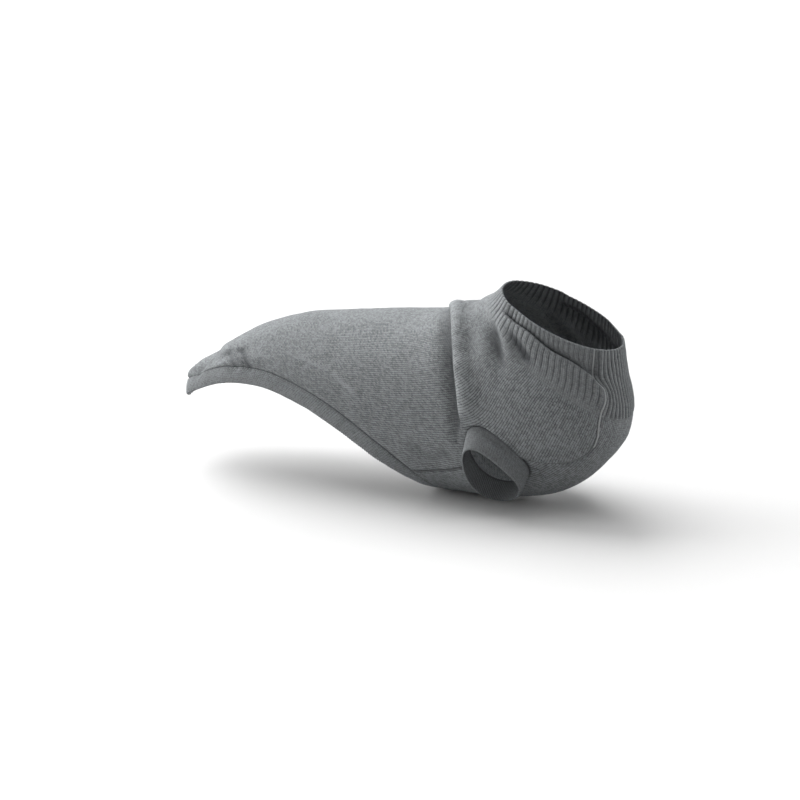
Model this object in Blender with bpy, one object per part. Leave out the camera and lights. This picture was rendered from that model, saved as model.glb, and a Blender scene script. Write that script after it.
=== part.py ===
"""A knitted pullover for a large dog, in the shape it takes on a wearer that lies down.

It is long over the back and cut away to a short belly, with a ribbed collar, leg cuffs and hem band. Each piece
that is cut and sewn is one closed cloth wall: a plain inside, and an outside that carries the ribs. Metres.
+X runs to the head, +Y to the wearer's left and +Z up. The origin is the inside of the cloth on top of the
withers, where the wearer holds the sweater up.

Every point of the cloth has an angle, in degrees round the body from the middle of the back (positive to the
wearer's right, 180 under the belly), and a place along it, from 0 at the tail to 1 at the collar's rim.
"""

import bmesh
import bpy
import numpy as np

# ---- Cloth ----
CLOTH = 0.0022  # wall of the plain knit
SEAM_GAP = 0.0003  # between the edges of two pieces
COLLAR_RIB = 0.0016  # how far a rib stands out of the wall, here and below
CUFF_RIB = 0.0008
HEM_RIB = 0.0008

# ---- The worn form ----
# Rings round the body: the ring's top and bottom, from the tail and from the ground, its half width, and how
# far its widest place lies below the middle, in radians.
RINGS = np.array([
    # place  top x  top z   foot x  foot z  half width  droop
    (0.00, -0.0270, 0.0880, 0.0300, 0.030, 0.0680, 0.10),
    (0.06, -0.0195, 0.1407, 0.0450, 0.028, 0.0780, 0.10),
    (0.12, 0.0253, 0.1755, 0.0700, 0.026, 0.0935, 0.10),
    (0.18, 0.0764, 0.2088, 0.1050, 0.024, 0.1015, 0.11),
    (0.26, 0.1480, 0.2355, 0.1600, 0.022, 0.1075, 0.12),
    (0.36, 0.2400, 0.2505, 0.2400, 0.018, 0.1120, 0.14),
    (0.48, 0.3300, 0.2604, 0.3350, 0.014, 0.1180, 0.16),
    (0.58, 0.3900, 0.2675, 0.4300, 0.012, 0.1220, 0.18),
    (0.66, 0.4250, 0.2805, 0.5200, 0.014, 0.1240, 0.18),
    (0.74, 0.4480, 0.2860, 0.6070, 0.040, 0.1195, 0.14),
    (0.82, 0.4620, 0.2900, 0.6710, 0.105, 0.1100, 0.06),
    (0.88, 0.4750, 0.2960, 0.6825, 0.150, 0.0950, 0.02),
    (0.94, 0.4900, 0.3060, 0.6725, 0.200, 0.0875, 0.00),
    (1.00, 0.5050, 0.3200, 0.6640, 0.255, 0.0820, 0.00),
])
WITHERS_PLACE = 0.62
RIB_PLACE = 0.872  # where the plain knit ends and the collar begins
RIM_PLACE = 0.985  # the collar's open end

# The seam between the body and the hem band.
HEM_LINE = np.array([
    # angle  place
    (0.0, 0.050),
    (26.0, 0.054),
    (40.0, 0.062),
    (48.0, 0.084),
    (55.0, 0.134),
    (62.9, 0.188),
    (72.8, 0.267),
    (86.6, 0.349),
    (106.0, 0.446),
    (128.0, 0.518),
    (150.0, 0.553),
    (180.0, 0.563),
])
HEM_WIDTH = 0.0245
# How far its free edge draws in, which is over the rump; it stands out a little on the flanks.
HEM_GRIP = np.array([
    # angle  draws in
    (0.0, 0.0050),
    (30.0, 0.0048),
    (60.0, 0.0020),
    (85.0, -0.0020),
    (108.0, -0.0060),
    (130.0, -0.0050),
    (155.0, -0.0010),
    (180.0, 0.0000),
])

# The seam between the back and the chest, from the belly, through the leg hole, to the rim of the collar.
CHEST_SEAM = np.array([
    # place  angle
    (0.500, 143.5),
    (0.600, 137.0),
    (0.664, 129.0),
    (0.700, 126.2),
    (0.737, 128.9),
    (0.768, 143.3),
    (0.800, 153.0),
    (0.830, 151.3),
    (0.856, 147.8),
    (0.882, 147.6),
    (0.905, 151.5),
    (0.920, 151.5),
    (0.943, 144.5),
    (0.966, 145.4),
    (1.000, 148.2),
])

# The line of the fold that runs from the withers down each shoulder and behind the leg hole. A row of each
# panel follows it and meets the chest seam at the hole's back end.
SHOULDER_LINE = np.array([
    # angle  place
    (0.0, 0.595),
    (24.0, 0.660),
    (43.0, 0.692),
    (60.0, 0.698),
    (76.0, 0.6925),
    (87.0, 0.685),
    (100.0, 0.672),
    (111.0, 0.662),
    (118.0, 0.659),
    (129.0, 0.664),
    (180.0, 0.664),
])

# The line round the collar above which it slips behind the cloth below it, the same on both sides.
TUCK_LINE = np.array([
    # angle  place
    (0.0, 0.952),
    (41.0, 0.946),
    (63.5, 0.950),
    (83.5, 0.957),
    (94.5, 0.953),
    (105.0, 0.950),
    (122.5, 0.949),
    (140.0, 0.937),
    (153.0, 0.919),
    (167.0, 0.921),
    (180.0, 0.924),
])

# ---- Leg holes, on the wearer's right; the left one mirrors it ----
HOLE_PLACE = 0.7005
HOLE_HALF = 0.0365  # half its length, in place
HOLE_OUTER = 20.0  # how far it reaches above the chest seam, in degrees
HOLE_INNER = 19.0  # and below it
HOLE_PLAIN = 1.15  # how far round a hole the cloth stays plain, in hole sizes, before folds fade in
HOLE_FADE = 0.4  # over this
CUFF_RUN = np.array((-0.0016, -0.0179, -0.0266))  # from the cuff's seam to its open end
CUFF_TAPER = 0.92  # the open end's size against the seam's

# ---- Folds ----
# A fold is a trough along a line over the cloth, with a raised lip beside it. The lip lies ahead of a line
# that is drawn down the right side or up the left side.
FOLDS = (
    # depth   width   lip     lip's distance, and the line through rows of (angle, place)
    (0.0062, 0.010, 0.0030, 0.015, ((50, 0.880), (58, 0.868), (66, 0.853), (80, 0.822), (88, 0.804))),
    (0.0045, 0.011, 0.0020, 0.016, ((66, 0.928), (72, 0.914), (78, 0.903), (84, 0.895), (92, 0.880))),
    (0.0030, 0.012, 0.0010, 0.018, ((44, 0.778), (53, 0.770), (65, 0.758), (74, 0.744), (84, 0.728))),
    (0.0030, 0.007, 0.0034, 0.010, ((149.5, 0.992), (147, 0.972), (144, 0.952), (147, 0.934))),
    (0.0045, 0.020, 0.0015, 0.030, ((50, 0.300), (62, 0.345), (75, 0.405), (90, 0.452), (100, 0.485))),
    (0.0036, 0.014, 0.0016, 0.020, ((6, 0.118), (24, 0.124), (42, 0.150), (54, 0.178))),
    (0.0036, 0.011, 0.0016, 0.017, ((46, 0.198), (56, 0.209), (66, 0.219))),
    (0.0030, 0.013, 0.0010, 0.020, ((118, 0.560), (128, 0.600), (122, 0.640))),
    (0.0055, 0.011, 0.0025, 0.016, ((-90, 0.800), (-76, 0.828), (-64, 0.852), (-56, 0.868))),
    (0.0042, 0.011, 0.0020, 0.016, ((-98, 0.868), (-88, 0.888), (-76, 0.910))),
    (0.0050, 0.020, 0.0015, 0.030, ((-92, 0.450), (-74, 0.400), (-56, 0.330))),
    (0.0045, 0.014, 0.0020, 0.020, ((-58, 0.190), (-44, 0.156), (-20, 0.124))),
    (0.0035, 0.013, 0.0020, 0.018, ((-78, 0.276), (-68, 0.236), (-60, 0.206))),
    (0.0040, 0.012, 0.0020, 0.017, ((-34, 0.800), (-12, 0.776), (10, 0.772), (32, 0.792))),
    (0.0025, 0.012, 0.0015, 0.017, ((-24, 0.724), (0, 0.708), (20, 0.714))),
    (0.0040, 0.014, 0.0015, 0.021, ((166, 0.640), (180, 0.632), (194, 0.642))),
)
END_FADE = 0.2  # share of a line over which each of its ends fades out
SHOULDER_FOLDS = (
    # side  from and to an angle   depth   width   lip     lip's distance
    (1, -14.0, 122.0, 0.0066, 0.010, 0.0050, 0.014),
    (-1, 22.0, 122.0, 0.0054, 0.011, 0.0040, 0.015),
)
TUCKS = (
    # side   from and to an angle   step in, lip out, and the height over which the cloth comes back
    (1, 52.0, 152.0, 0.0072, 0.0028, 0.030),
    (-1, 62.0, 132.0, 0.0058, 0.0022, 0.028),
)
TUCK_HALF = 0.0040  # half a tuck's step, in place
TUCK_EDGE = 0.005  # its width over the cloth
SIDE_POINTS = 28  # points along a shoulder fold or a tuck
PUFF = 0.0040  # how far the body's knit stands out over the hem seam
PUFF_REACH = 0.012
PUFF_WAVES = ((0.15, 5, 0.6), (0.10, 13, 0.0))  # its unevenness: size, waves round the body, and their start

# ---- How finely each piece is made ----
ROWS_BEHIND, ROWS_HOLE, ROWS_AHEAD = 16, 10, 12  # rows of the body, behind, beside and ahead of the leg holes
SWERVE = 0.0075  # how far, in place, the rows swerve to keep off a leg hole
SWERVE_FADE = 0.8  # how far they still do past the hole's ends, in hole sizes
SWERVE_START, SWERVE_END = 0.05, 0.45  # where it is whole and where it ends, from the seam to the middle
CLOSER = 0.45  # how much closer the rows behind lie at their two ends
BACK_COLUMNS = 52
CHEST_COLUMNS = 7
COLLAR_ROWS_BELOW, COLLAR_ROWS_ABOVE = 5, 4  # below and above the tuck's step
COLLAR_RIBS = {"back": 1, "chest": 2}  # ribs to a column of the panel below
HEM_RIBS = {"back": 4, "chest": 5}
CUFF_RIBS = 5
LINE_STEPS = 6  # steps between the points of a fold's line
ANGLE_STEP, PLACE_STEP, TURN_STEP = 0.25, 0.002, 2.0  # the steps that directions are read over
BESIDE_HOLE = 1.3  # how far round a leg hole its surroundings are read, in hole sizes
SETTLE_STEPS = 12  # rounds after which the crossing of two lines has settled

KNIT_GREY = (0.27, 0.29, 0.30, 1.0)
CHEST_GREY = (0.30, 0.32, 0.33, 1.0)
RIB_GREY = (0.24, 0.26, 0.27, 1.0)


# ---- Curves ----
def through(table, at):
    """The smooth curve through a table's rows, read at values of its first column."""
    knots, rows = table[:, 0], table[:, 1:]
    spans = np.diff(knots)[:, None]
    slopes = np.diff(rows, axis=0) / spans
    tangents = np.vstack((
        slopes[:1],
        (slopes[:-1] * spans[1:] + slopes[1:] * spans[:-1]) / (spans[1:] + spans[:-1]),
        slopes[-1:],
    ))
    at = np.asarray(at, float)
    left = np.clip(np.searchsorted(knots, at, side="right") - 1, 0, len(knots) - 2)
    span = spans[left]
    t = ((at - knots[left]) / span[..., 0])[..., None]
    return (
        (2 * t**3 - 3 * t**2 + 1) * rows[left]
        + (t**3 - 2 * t**2 + t) * span * tangents[left]
        + (3 * t**2 - 2 * t**3) * rows[left + 1]
        + (t**3 - t**2) * span * tangents[left + 1]
    )


def place_on(line, angle):
    """The place at an angle of a line round the body that is the same on both sides."""
    return through(line, on_right(angle))[..., 0]


def hem_place(angle):
    """The hem seam's place at an angle."""
    return place_on(HEM_LINE, angle)


def seam_angle(place):
    """The chest seam's angle at a place."""
    return through(CHEST_SEAM, place)[..., 0]


def smooth_step(value):
    """0 below 0, 1 above 1, and a soft rise between."""
    value = np.clip(value, 0, 1)
    return value**3 * (value * (6 * value - 15) + 10)


def unit(vectors):
    return vectors / np.maximum(np.linalg.norm(vectors, axis=-1, keepdims=True), 1e-12)


# ---- The worn form ----
def ring_point(angle, place):
    """The plain form of the body: one oval ring at each place."""
    turn = np.radians(angle)
    top_x, top_z, foot_x, foot_z, half_width, droop = np.moveaxis(through(RINGS, place), -1, 0)
    share = (1 + np.cos(turn - droop * np.sin(turn))) / 2
    x = top_x * share + foot_x * (1 - share)
    z = top_z * share + foot_z * (1 - share)
    return np.stack((x, -half_width * np.sin(turn), z), -1)


def on_right(angle):
    """The angle on the right half that mirrors this one."""
    return 180 - np.abs(180 - np.mod(angle, 360))


def hole_edge(turn, reach=1.0):
    """The angle and place of the right leg hole's edge, or of a line round it at `reach` times its size.

    Turn is 0 at its back end, 90 on top, 180 in front and 270 below.
    """
    turn = np.radians(turn)
    along, across = -np.cos(turn) * reach, -np.sin(turn) * reach
    place = HOLE_PLACE + HOLE_HALF * along
    return seam_angle(place) + np.where(across < 0, HOLE_OUTER, HOLE_INNER) * across, place


def cuff_point(turn, share):
    """A point on the right cuff, at a share of the way from its seam to its open end."""
    seam = ring_point(*hole_edge(turn))
    middle = ring_point(seam_angle(HOLE_PLACE), np.array(HOLE_PLACE))
    open_end = middle + CUFF_TAPER * (seam - middle) + CUFF_RUN
    share = np.asarray(share, float)[..., None]
    return (1 - share) * seam + share * open_end


def cuff_outward(turn, share):
    """The cuff's outward direction."""
    around = cuff_point(turn + 2, share) - cuff_point(turn - 2, share)
    run = cuff_point(turn, np.ones_like(turn)) - cuff_point(turn, np.zeros_like(turn))
    return unit(np.cross(run, around))


def from_hole(angle, place):
    """How far a point of the right half lies from the middle of the leg hole, 1 at its edge."""
    across = angle - seam_angle(place)
    across = across / np.where(across < 0, HOLE_OUTER, HOLE_INNER)
    return np.hypot(across, (place - HOLE_PLACE) / HOLE_HALF)


def hole_seam(turn):
    """The direction over the body away from the right leg hole at its seam, and the seam faces' direction.

    The faces lie half way between the body's outward direction and the cuff's.
    """
    along = unit(ring_point(*hole_edge(turn + TURN_STEP)) - ring_point(*hole_edge(turn - TURN_STEP)))
    away = ring_point(*hole_edge(turn, BESIDE_HOLE)) - ring_point(*hole_edge(turn))
    away = unit(away - np.sum(away * along, axis=-1, keepdims=True) * along)
    return away, unit(np.cross(along, away) + cuff_outward(turn, np.zeros_like(turn)))


def slopes(angle, place):
    """How the form runs with the angle and with the place, as two vectors at each point."""
    by_angle = ring_point(angle + ANGLE_STEP, place) - ring_point(angle - ANGLE_STEP, place)
    by_place = ring_point(angle, place + PLACE_STEP) - ring_point(angle, place - PLACE_STEP)
    return by_angle / (2 * ANGLE_STEP), by_place / (2 * PLACE_STEP)


def outward(angle, place):
    """The form's outward direction."""
    by_angle, by_place = slopes(angle, place)
    return unit(np.cross(by_angle, by_place))


# ---- Folds ----
def side_line(line, side, first, last):
    """The points of a line drawn down the right side (1) or up the left side (-1)."""
    angle = side * np.linspace(first, last, SIDE_POINTS)[::side]
    return ring_point(angle, place_on(line, angle))


def over_form(line):
    """The points of a line drawn over the form through rows of (angle, place)."""
    table = np.column_stack((np.arange(len(line)), np.array(line, float)))
    steps = np.linspace(0, len(line) - 1, (len(line) - 1) * LINE_STEPS + 1)
    angle, place = np.moveaxis(through(table, steps), -1, 0)
    return ring_point(angle, place)


def from_line(points, normals, line):
    """Each point's distance from a line, below 0 behind it, and the share of the line that it lies at."""
    nearest = np.full(points.shape[:-1], np.inf)
    share = np.zeros(points.shape[:-1])
    for index, (start, end) in enumerate(zip(line[:-1], line[1:])):
        run = end - start
        along = np.clip((points - start) @ run / (run @ run), 0, 1)
        apart = points - start - along[..., None] * run
        ahead = np.sum(apart * np.cross(normals, run), axis=-1)
        distance = np.where(ahead < 0, -1, 1) * np.linalg.norm(apart, axis=-1)
        nearer = np.abs(distance) < np.abs(nearest)
        nearest = np.where(nearer, distance, nearest)
        share = np.where(nearer, (index + along) / (len(line) - 1), share)
    return nearest, share


def faded(share):
    """1 along a line, and falling to 0 at its two ends."""
    return smooth_step(share / END_FADE) * smooth_step((1 - share) / END_FADE)


def fold(points, normals, line, depth, width, lip, lip_distance):
    """How far one fold along a line raises the cloth at each point."""
    distance, share = from_line(points, normals, line)
    trough = depth * np.exp(-((distance / width) ** 2))
    return faded(share) * (lip * np.exp(-(((distance - lip_distance) / width) ** 2)) - trough)


def tuck(points, normals, line, step, lip, recovery):
    """How far one tuck along a line raises the cloth at each point."""
    distance, share = from_line(points, normals, line)
    above = smooth_step(distance / TUCK_EDGE + 0.5)
    stepped_in = step * np.exp(-np.maximum(distance, 0) / recovery)
    return faded(share) * ((1 - above) * lip * np.exp(-((distance / recovery) ** 2)) - above * stepped_in)


def fold_height(points, normals):
    """How far all the folds and tucks raise the cloth at each point."""
    height = np.zeros(points.shape[:-1])
    for *sizes, line in FOLDS:
        height += fold(points, normals, over_form(line), *sizes)
    for side, first, last, *sizes in SHOULDER_FOLDS:
        height += fold(points, normals, side_line(SHOULDER_LINE, side, first, last), *sizes)
    for side, first, last, *sizes in TUCKS:
        height += tuck(points, normals, side_line(TUCK_LINE, side, first, last), *sizes)
    return height


def puff_height(angle, points, normals):
    """How far the body's knit stands out over the hem seam, unevenly round it."""
    round_body = np.linspace(0, 360, 91)
    distance, _ = from_line(points, normals, ring_point(round_body, hem_place(round_body)))
    reach = np.abs(distance) / PUFF_REACH
    turn = np.radians(angle)
    uneven = 1 + sum(size * (np.sin(waves * turn + start) - 1) for size, waves, start in PUFF_WAVES)
    return PUFF * uneven * reach * np.exp(1 - reach)


def cloth(angle, place, puffed=False):
    """The inside of the cloth and its outward direction, with every fold. The leg holes' seams stay plain."""
    points = ring_point(angle, place)
    normals = outward(angle, place)
    height = fold_height(points, normals)
    if puffed:
        height += puff_height(angle, points, normals)
    height *= smooth_step((from_hole(on_right(angle), place) - HOLE_PLAIN) / HOLE_FADE)
    return points + normals * height[..., None], normals


# ---- The cutting lines ----
def equal_steps(place_of, limit, count):
    """Angles from 0 to a limit that part the line at place_of(angle) into equal lengths."""
    angle = np.linspace(0, limit, 361)
    points = ring_point(angle, place_of(angle))
    lengths = np.linalg.norm(np.diff(points, axis=0), axis=1)
    travelled = np.concatenate(((0,), np.cumsum(lengths)))
    return np.interp(np.linspace(0, travelled[-1], count + 1), travelled, angle)


def seam_rows():
    """Each row's place along the chest seam, and its turn round the leg hole, 0 behind it and 180 ahead."""
    start = HEM_LINE[-2, 1]
    for _ in range(SETTLE_STEPS):
        start = hem_place(seam_angle(start))
    hole_start, hole_end = HOLE_PLACE - HOLE_HALF, HOLE_PLACE + HOLE_HALF
    share = np.linspace(0, 1, ROWS_BEHIND + 1)
    behind = start + (hole_start - start) * (share - CLOSER * np.sin(2 * np.pi * share) / (2 * np.pi))
    turns = np.linspace(0, 180, ROWS_HOLE + 1)
    ahead = np.linspace(hole_end, RIB_PLACE, ROWS_AHEAD + 1)
    place = np.concatenate((behind[:-1], HOLE_PLACE - HOLE_HALF * np.cos(np.radians(turns)), ahead[1:]))
    turn = np.concatenate((np.zeros(ROWS_BEHIND), turns, np.full(ROWS_AHEAD, 180.0)))
    return place, turn


def both_sides(half):
    """Distances from the middle, on its left and on its right."""
    return np.concatenate((-half[:0:-1], half))


def clear_of_hole(places, share):
    """How far the rows swerve along the body to keep off a leg hole, by their place at the seam and their columns'
    share of the way from the panel's middle to that seam."""
    along = (places - HOLE_PLACE) / HOLE_HALF
    nearby = np.exp(-((np.maximum(np.abs(along) - 1, 0) / SWERVE_FADE) ** 2))
    off_seam = 1 - np.abs(share)
    beside = smooth_step(off_seam / SWERVE_START) * (1 - smooth_step(off_seam / SWERVE_END))
    return SWERVE * (np.clip(along, -1, 1) * nearby)[:, None] * beside


def panel_grid(middle, at_hem, at_rib, edge, places):
    """Angles and places of a panel's rows and columns. One row follows the shoulder line.

    at_hem and at_rib are its columns' distances from its middle angle at its two ends, edge is its half width at
    each row, all in degrees, and places is the chest seam's place at each row.
    """
    share = ((places - places[0]) / (places[-1] - places[0]))[:, None]
    spread = (1 - share) * at_hem + share * at_rib
    spread /= spread[:, -1:]
    angle = middle + spread * edge[:, None]
    start, shoulder = hem_place(middle + at_hem), place_on(SHOULDER_LINE, angle[ROWS_BEHIND])
    behind = ((places - places[0]) / (places[ROWS_BEHIND] - places[0]))[:ROWS_BEHIND, None]
    ahead = ((places - places[ROWS_BEHIND]) / (places[-1] - places[ROWS_BEHIND]))[ROWS_BEHIND:, None]
    place = np.concatenate((start + (shoulder - start) * behind, shoulder + (RIB_PLACE - shoulder) * ahead))
    return angle, place + clear_of_hole(places, spread)


def square_to(border, neighbours):
    """At each point of a border, the direction into its piece, square to the border."""
    along = np.empty_like(border)
    along[1:-1] = border[2:] - border[:-2]
    along[0], along[-1] = border[1] - border[0], border[-1] - border[-2]
    along = unit(along)
    into = neighbours - border
    return unit(into - np.sum(into * along, axis=-1, keepdims=True) * along)


def drawn_in(points, borders):
    """The points with the named borders moved in by half a seam's gap."""
    moved = points.copy()
    if "hem" in borders:
        moved[0] += square_to(points[0], points[1]) * SEAM_GAP / 2
    if "collar" in borders:
        moved[-1] += square_to(points[-1], points[-2]) * SEAM_GAP / 2
    if "sides" in borders:
        moved[:, 0] += square_to(points[:, 0], points[:, 1]) * SEAM_GAP / 2
        moved[:, -1] += square_to(points[:, -1], points[:, -2]) * SEAM_GAP / 2
    return moved


def ribbed(points, normals, ribs, rib_height, wall, ring):
    """The outside of a ribbed wall over the plain inside `points`. ribs is the number in each column."""
    if ring:
        points = np.concatenate((points, points[:, :1]), axis=1)
        normals = np.concatenate((normals, normals[:, :1]), axis=1)
    outside = []
    for column, count in enumerate(ribs):
        for step in range(2 * count):
            share = step / (2 * count)
            base = (1 - share) * points[:, column] + share * points[:, column + 1]
            away = (1 - share) * normals[:, column] + share * normals[:, column + 1]
            outside.append(base + away * (wall + (rib_height if step % 2 else 0)))
    if not ring:
        outside.append(points[:, -1] + normals[:, -1] * wall)
    return np.stack(outside, axis=1)


# ---- Solids ----
def add_sheet(bm, points, ring):
    """A sheet of faces through a table of points. A ring's last column joins its first."""
    rows = [[bm.verts.new(point) for point in row] for row in points]
    for row, next_row in zip(rows[:-1], rows[1:]):
        for column in range(len(row) - (not ring)):
            after = (column + 1) % len(row)
            bm.faces.new((row[column], row[after], next_row[after], next_row[column]))
    return rows


def add_wall(name, inside, outside, ribs, material, ring=False):
    """One closed cloth wall between its inside and its outside, as an object."""
    bm = bmesh.new()
    inner = add_sheet(bm, inside, ring)
    outer = add_sheet(bm, outside, ring)
    for row in (0, -1):
        first = 0
        for column, count in enumerate(ribs):
            last = first + max(2 * count, 1)
            edge = [outer[row][step % len(outer[row])] for step in range(first, last + 1)]
            after = inner[row][(column + 1) % len(inner[row])]
            bm.faces.new((inner[row][column], *edge, after))
            first = last
    if not ring:
        for column in (0, -1):
            for row in range(len(inner) - 1):
                near, far = inner[row][column], outer[row][column]
                bm.faces.new((near, far, outer[row + 1][column], inner[row + 1][column]))
    bmesh.ops.recalc_face_normals(bm, faces=bm.faces)
    mesh = bpy.data.meshes.new(name)
    bm.to_mesh(mesh)
    bm.free()
    mesh.shade_smooth()
    mesh.set_sharp_from_angle(angle=np.radians(50))
    mesh.materials.append(material)
    piece = bpy.data.objects.new(name, mesh)
    return piece


def knit_material(name, colour):
    """A soft matt yarn."""
    material = bpy.data.materials.new(name)
    material.use_nodes = True
    shader = material.node_tree.nodes["Principled BSDF"]
    shader.inputs["Base Color"].default_value = colour
    shader.inputs["Roughness"].default_value = 0.95
    shader.inputs["Metallic"].default_value = 0.0
    return material


# ---- Pieces ----
class Pattern:
    """The cutting lines, the cloth of the two panels, and what the pieces share along their seams."""

    def __init__(self):
        self.places, turns = seam_rows()
        self.hole_rows = slice(ROWS_BEHIND, ROWS_BEHIND + ROWS_HOLE + 1)
        self.hole_turns = turns[self.hole_rows]
        seam = seam_angle(self.places)
        bulge = np.sin(np.radians(turns))
        half = BACK_COLUMNS // 2
        self.back_at_hem = both_sides(equal_steps(hem_place, seam[0], half))
        at_rib = equal_steps(lambda angle: np.full_like(angle, RIB_PLACE), seam[-1], half)
        self.back_at_rib = both_sides(at_rib)
        spread = np.linspace(-1, 1, CHEST_COLUMNS + 1)
        self.chest_at_hem = spread * (180 - seam[0])
        self.chest_at_rib = spread * (180 - seam[-1])
        back_edge = seam - HOLE_OUTER * bulge
        chest_edge = 180 - seam - HOLE_INNER * bulge
        back = panel_grid(0, self.back_at_hem, self.back_at_rib, back_edge, self.places)
        chest = panel_grid(180, self.chest_at_hem, self.chest_at_rib, chest_edge, self.places)
        self.back, self.chest = cloth(*back, puffed=True), cloth(*chest, puffed=True)

    def fitted(self, cloth_of_panel, right_column, left_column, turns):
        """A panel's cloth with a seam's gap at its borders, which are turned to the cuffs at the leg holes."""
        points, normals = cloth_of_panel[0], cloth_of_panel[1].copy()
        apart = drawn_in(points, ("hem", "collar", "sides"))
        rows = self.hole_rows
        away, mitre = hole_seam(turns)
        for column, mirror in ((right_column, (1, 1, 1)), (left_column, (1, -1, 1))):
            shift = away * mirror * SEAM_GAP / 2
            shift[0] += apart[rows.start - 1, column] - points[rows.start - 1, column]
            shift[-1] += apart[rows.stop, column] - points[rows.stop, column]
            apart[rows, column] = points[rows, column] + shift
            normals[rows, column] = mitre * mirror
        return apart, normals


def panel(name, points, normals, colour, origin):
    """The back with both sides, or the chest with the belly: plain knit from the hem to the collar."""
    inside = points - origin
    ribs = [0] * (inside.shape[1] - 1)
    return add_wall(name, inside, inside + normals * CLOTH, ribs, knit_material(name, colour))


def collar_grid(middle, at_rib):
    """Angles and places of a collar section's grid, with a row on each side of the tuck's step."""
    seam_place = RIB_PLACE
    for _ in range(SETTLE_STEPS):
        seam_place = place_on(TUCK_LINE, seam_angle(seam_place))
    side = seam_angle(seam_place) if middle == 0 else 180 - seam_angle(seam_place)
    step = place_on(TUCK_LINE, middle + at_rib * side / at_rib[-1])
    below = RIB_PLACE + (step - TUCK_HALF - RIB_PLACE) * np.linspace(0, 1, COLLAR_ROWS_BELOW + 1)[:, None]
    above = RIM_PLACE - (RIM_PLACE - step - TUCK_HALF) * np.linspace(1, 0, COLLAR_ROWS_ABOVE + 1)[:, None]
    place = np.concatenate((below, above))
    edge = seam_angle(place[:, -1])
    return middle + at_rib * ((edge if middle == 0 else 180 - edge) / at_rib[-1])[:, None], place


def collar(name, middle, at_rib, count, origin):
    """One section of the ribbed collar: over the back and sides, or over the chest."""
    points, normals = cloth(*collar_grid(middle, at_rib))
    points = drawn_in(points, ("hem", "sides")) - origin
    ribs = [count] * (len(at_rib) - 1)
    outside = ribbed(points, normals, ribs, COLLAR_RIB, CLOTH, ring=False)
    return add_wall(name, points, outside, ribs, knit_material(name + "_rib", RIB_GREY))


def hem_band(pattern, origin):
    """The ribbed band round the open rear end."""
    angle = np.concatenate((pattern.back_at_hem[:-1], 180 + pattern.chest_at_hem[:-1]))
    place = hem_place(angle)
    free_angle, free_place = stepped(angle, place, HEM_WIDTH)
    points, normals = cloth(np.stack((angle, free_angle)), np.stack((place, free_place)))
    points[1] -= normals[1] * place_on(HEM_GRIP, angle)[:, None]
    points = drawn_in(points, ("hem",)) - origin
    ribs = [HEM_RIBS["back"]] * BACK_COLUMNS + [HEM_RIBS["chest"]] * CHEST_COLUMNS
    outside = ribbed(points, normals, ribs, HEM_RIB, CLOTH, ring=True)
    return add_wall("hem_band", points, outside, ribs, knit_material("hem_rib", RIB_GREY), ring=True)


def stepped(angle, place, distance):
    """The angles and places reached by walking off a loop over the form, square to it and to the rear."""
    by_angle, by_place = slopes(angle, place)
    points = ring_point(angle, place)
    along = unit(np.roll(points, -1, axis=0) - np.roll(points, 1, axis=0))
    rearward = unit(np.cross(along, outward(angle, place))) * distance
    aa = np.sum(by_angle * by_angle, axis=-1)
    ap = np.sum(by_angle * by_place, axis=-1)
    pp = np.sum(by_place * by_place, axis=-1)
    ra = np.sum(by_angle * rearward, axis=-1)
    rp = np.sum(by_place * rearward, axis=-1)
    scale = aa * pp - ap * ap
    return angle + (ra * pp - rp * ap) / scale, place + (rp * aa - ra * ap) / scale


def cuff(name, pattern, side, origin):
    """A ribbed leg cuff: the right one (side 1) or the left one (side -1)."""
    lower = np.linspace(180, 360, ROWS_HOLE + 1)
    turns = np.concatenate((pattern.hole_turns[:-1], lower[:-1]))
    turn, share = np.meshgrid(turns, (0.0, 1.0))
    points = drawn_in(cuff_point(turn, share), ("hem",)) * (1, side, 1) - origin
    normals = cuff_outward(turn, share) * (1, side, 1)
    normals[0] = hole_seam(turns)[1] * (1, side, 1)
    ribs = [CUFF_RIBS] * len(turns)
    outside = ribbed(points, normals, ribs, CUFF_RIB, CLOTH, ring=True)
    return add_wall(name, points, outside, ribs, knit_material(name + "_rib", RIB_GREY), ring=True)


def main():
    for old in list(bpy.data.objects):
        bpy.data.objects.remove(old)
    parts = bpy.data.collections.new("dog_sweater")
    bpy.context.scene.collection.children.link(parts)
    pattern = Pattern()
    origin = ring_point(np.array(0.0), np.array(WITHERS_PLACE))
    pieces = (
        panel("back_panel", *pattern.fitted(pattern.back, -1, 0, pattern.hole_turns), KNIT_GREY, origin),
        panel("chest_panel", *pattern.fitted(pattern.chest, 0, -1, -pattern.hole_turns), CHEST_GREY, origin),
        collar("collar_back", 0, pattern.back_at_rib, COLLAR_RIBS["back"], origin),
        collar("collar_chest", 180, pattern.chest_at_rib, COLLAR_RIBS["chest"], origin),
        hem_band(pattern, origin),
        cuff("cuff_right", pattern, 1, origin),
        cuff("cuff_left", pattern, -1, origin),
    )
    for piece in pieces:
        parts.objects.link(piece)


main()
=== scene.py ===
"""A knitted dog sweater's looks over its packed cloth walls: plain knit panels, ribbed collar, cuffs and hem.

Every point of the cloth has an angle, in degrees round the body from the middle of the back (positive to the
wearer's right, 180 under the belly), and a place along it, from 0 at the tail to 1 ahead of the collar's rim.
Each piece is one grid of such points, raised by the folds, with a stitch map: U counts wales, V counts courses.
"""

from __future__ import annotations

import logging
import math
from collections.abc import Sequence
from dataclasses import dataclass, field, replace
from enum import Enum

import bmesh
import bpy
import numpy as np
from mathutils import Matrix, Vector, noise

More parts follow.
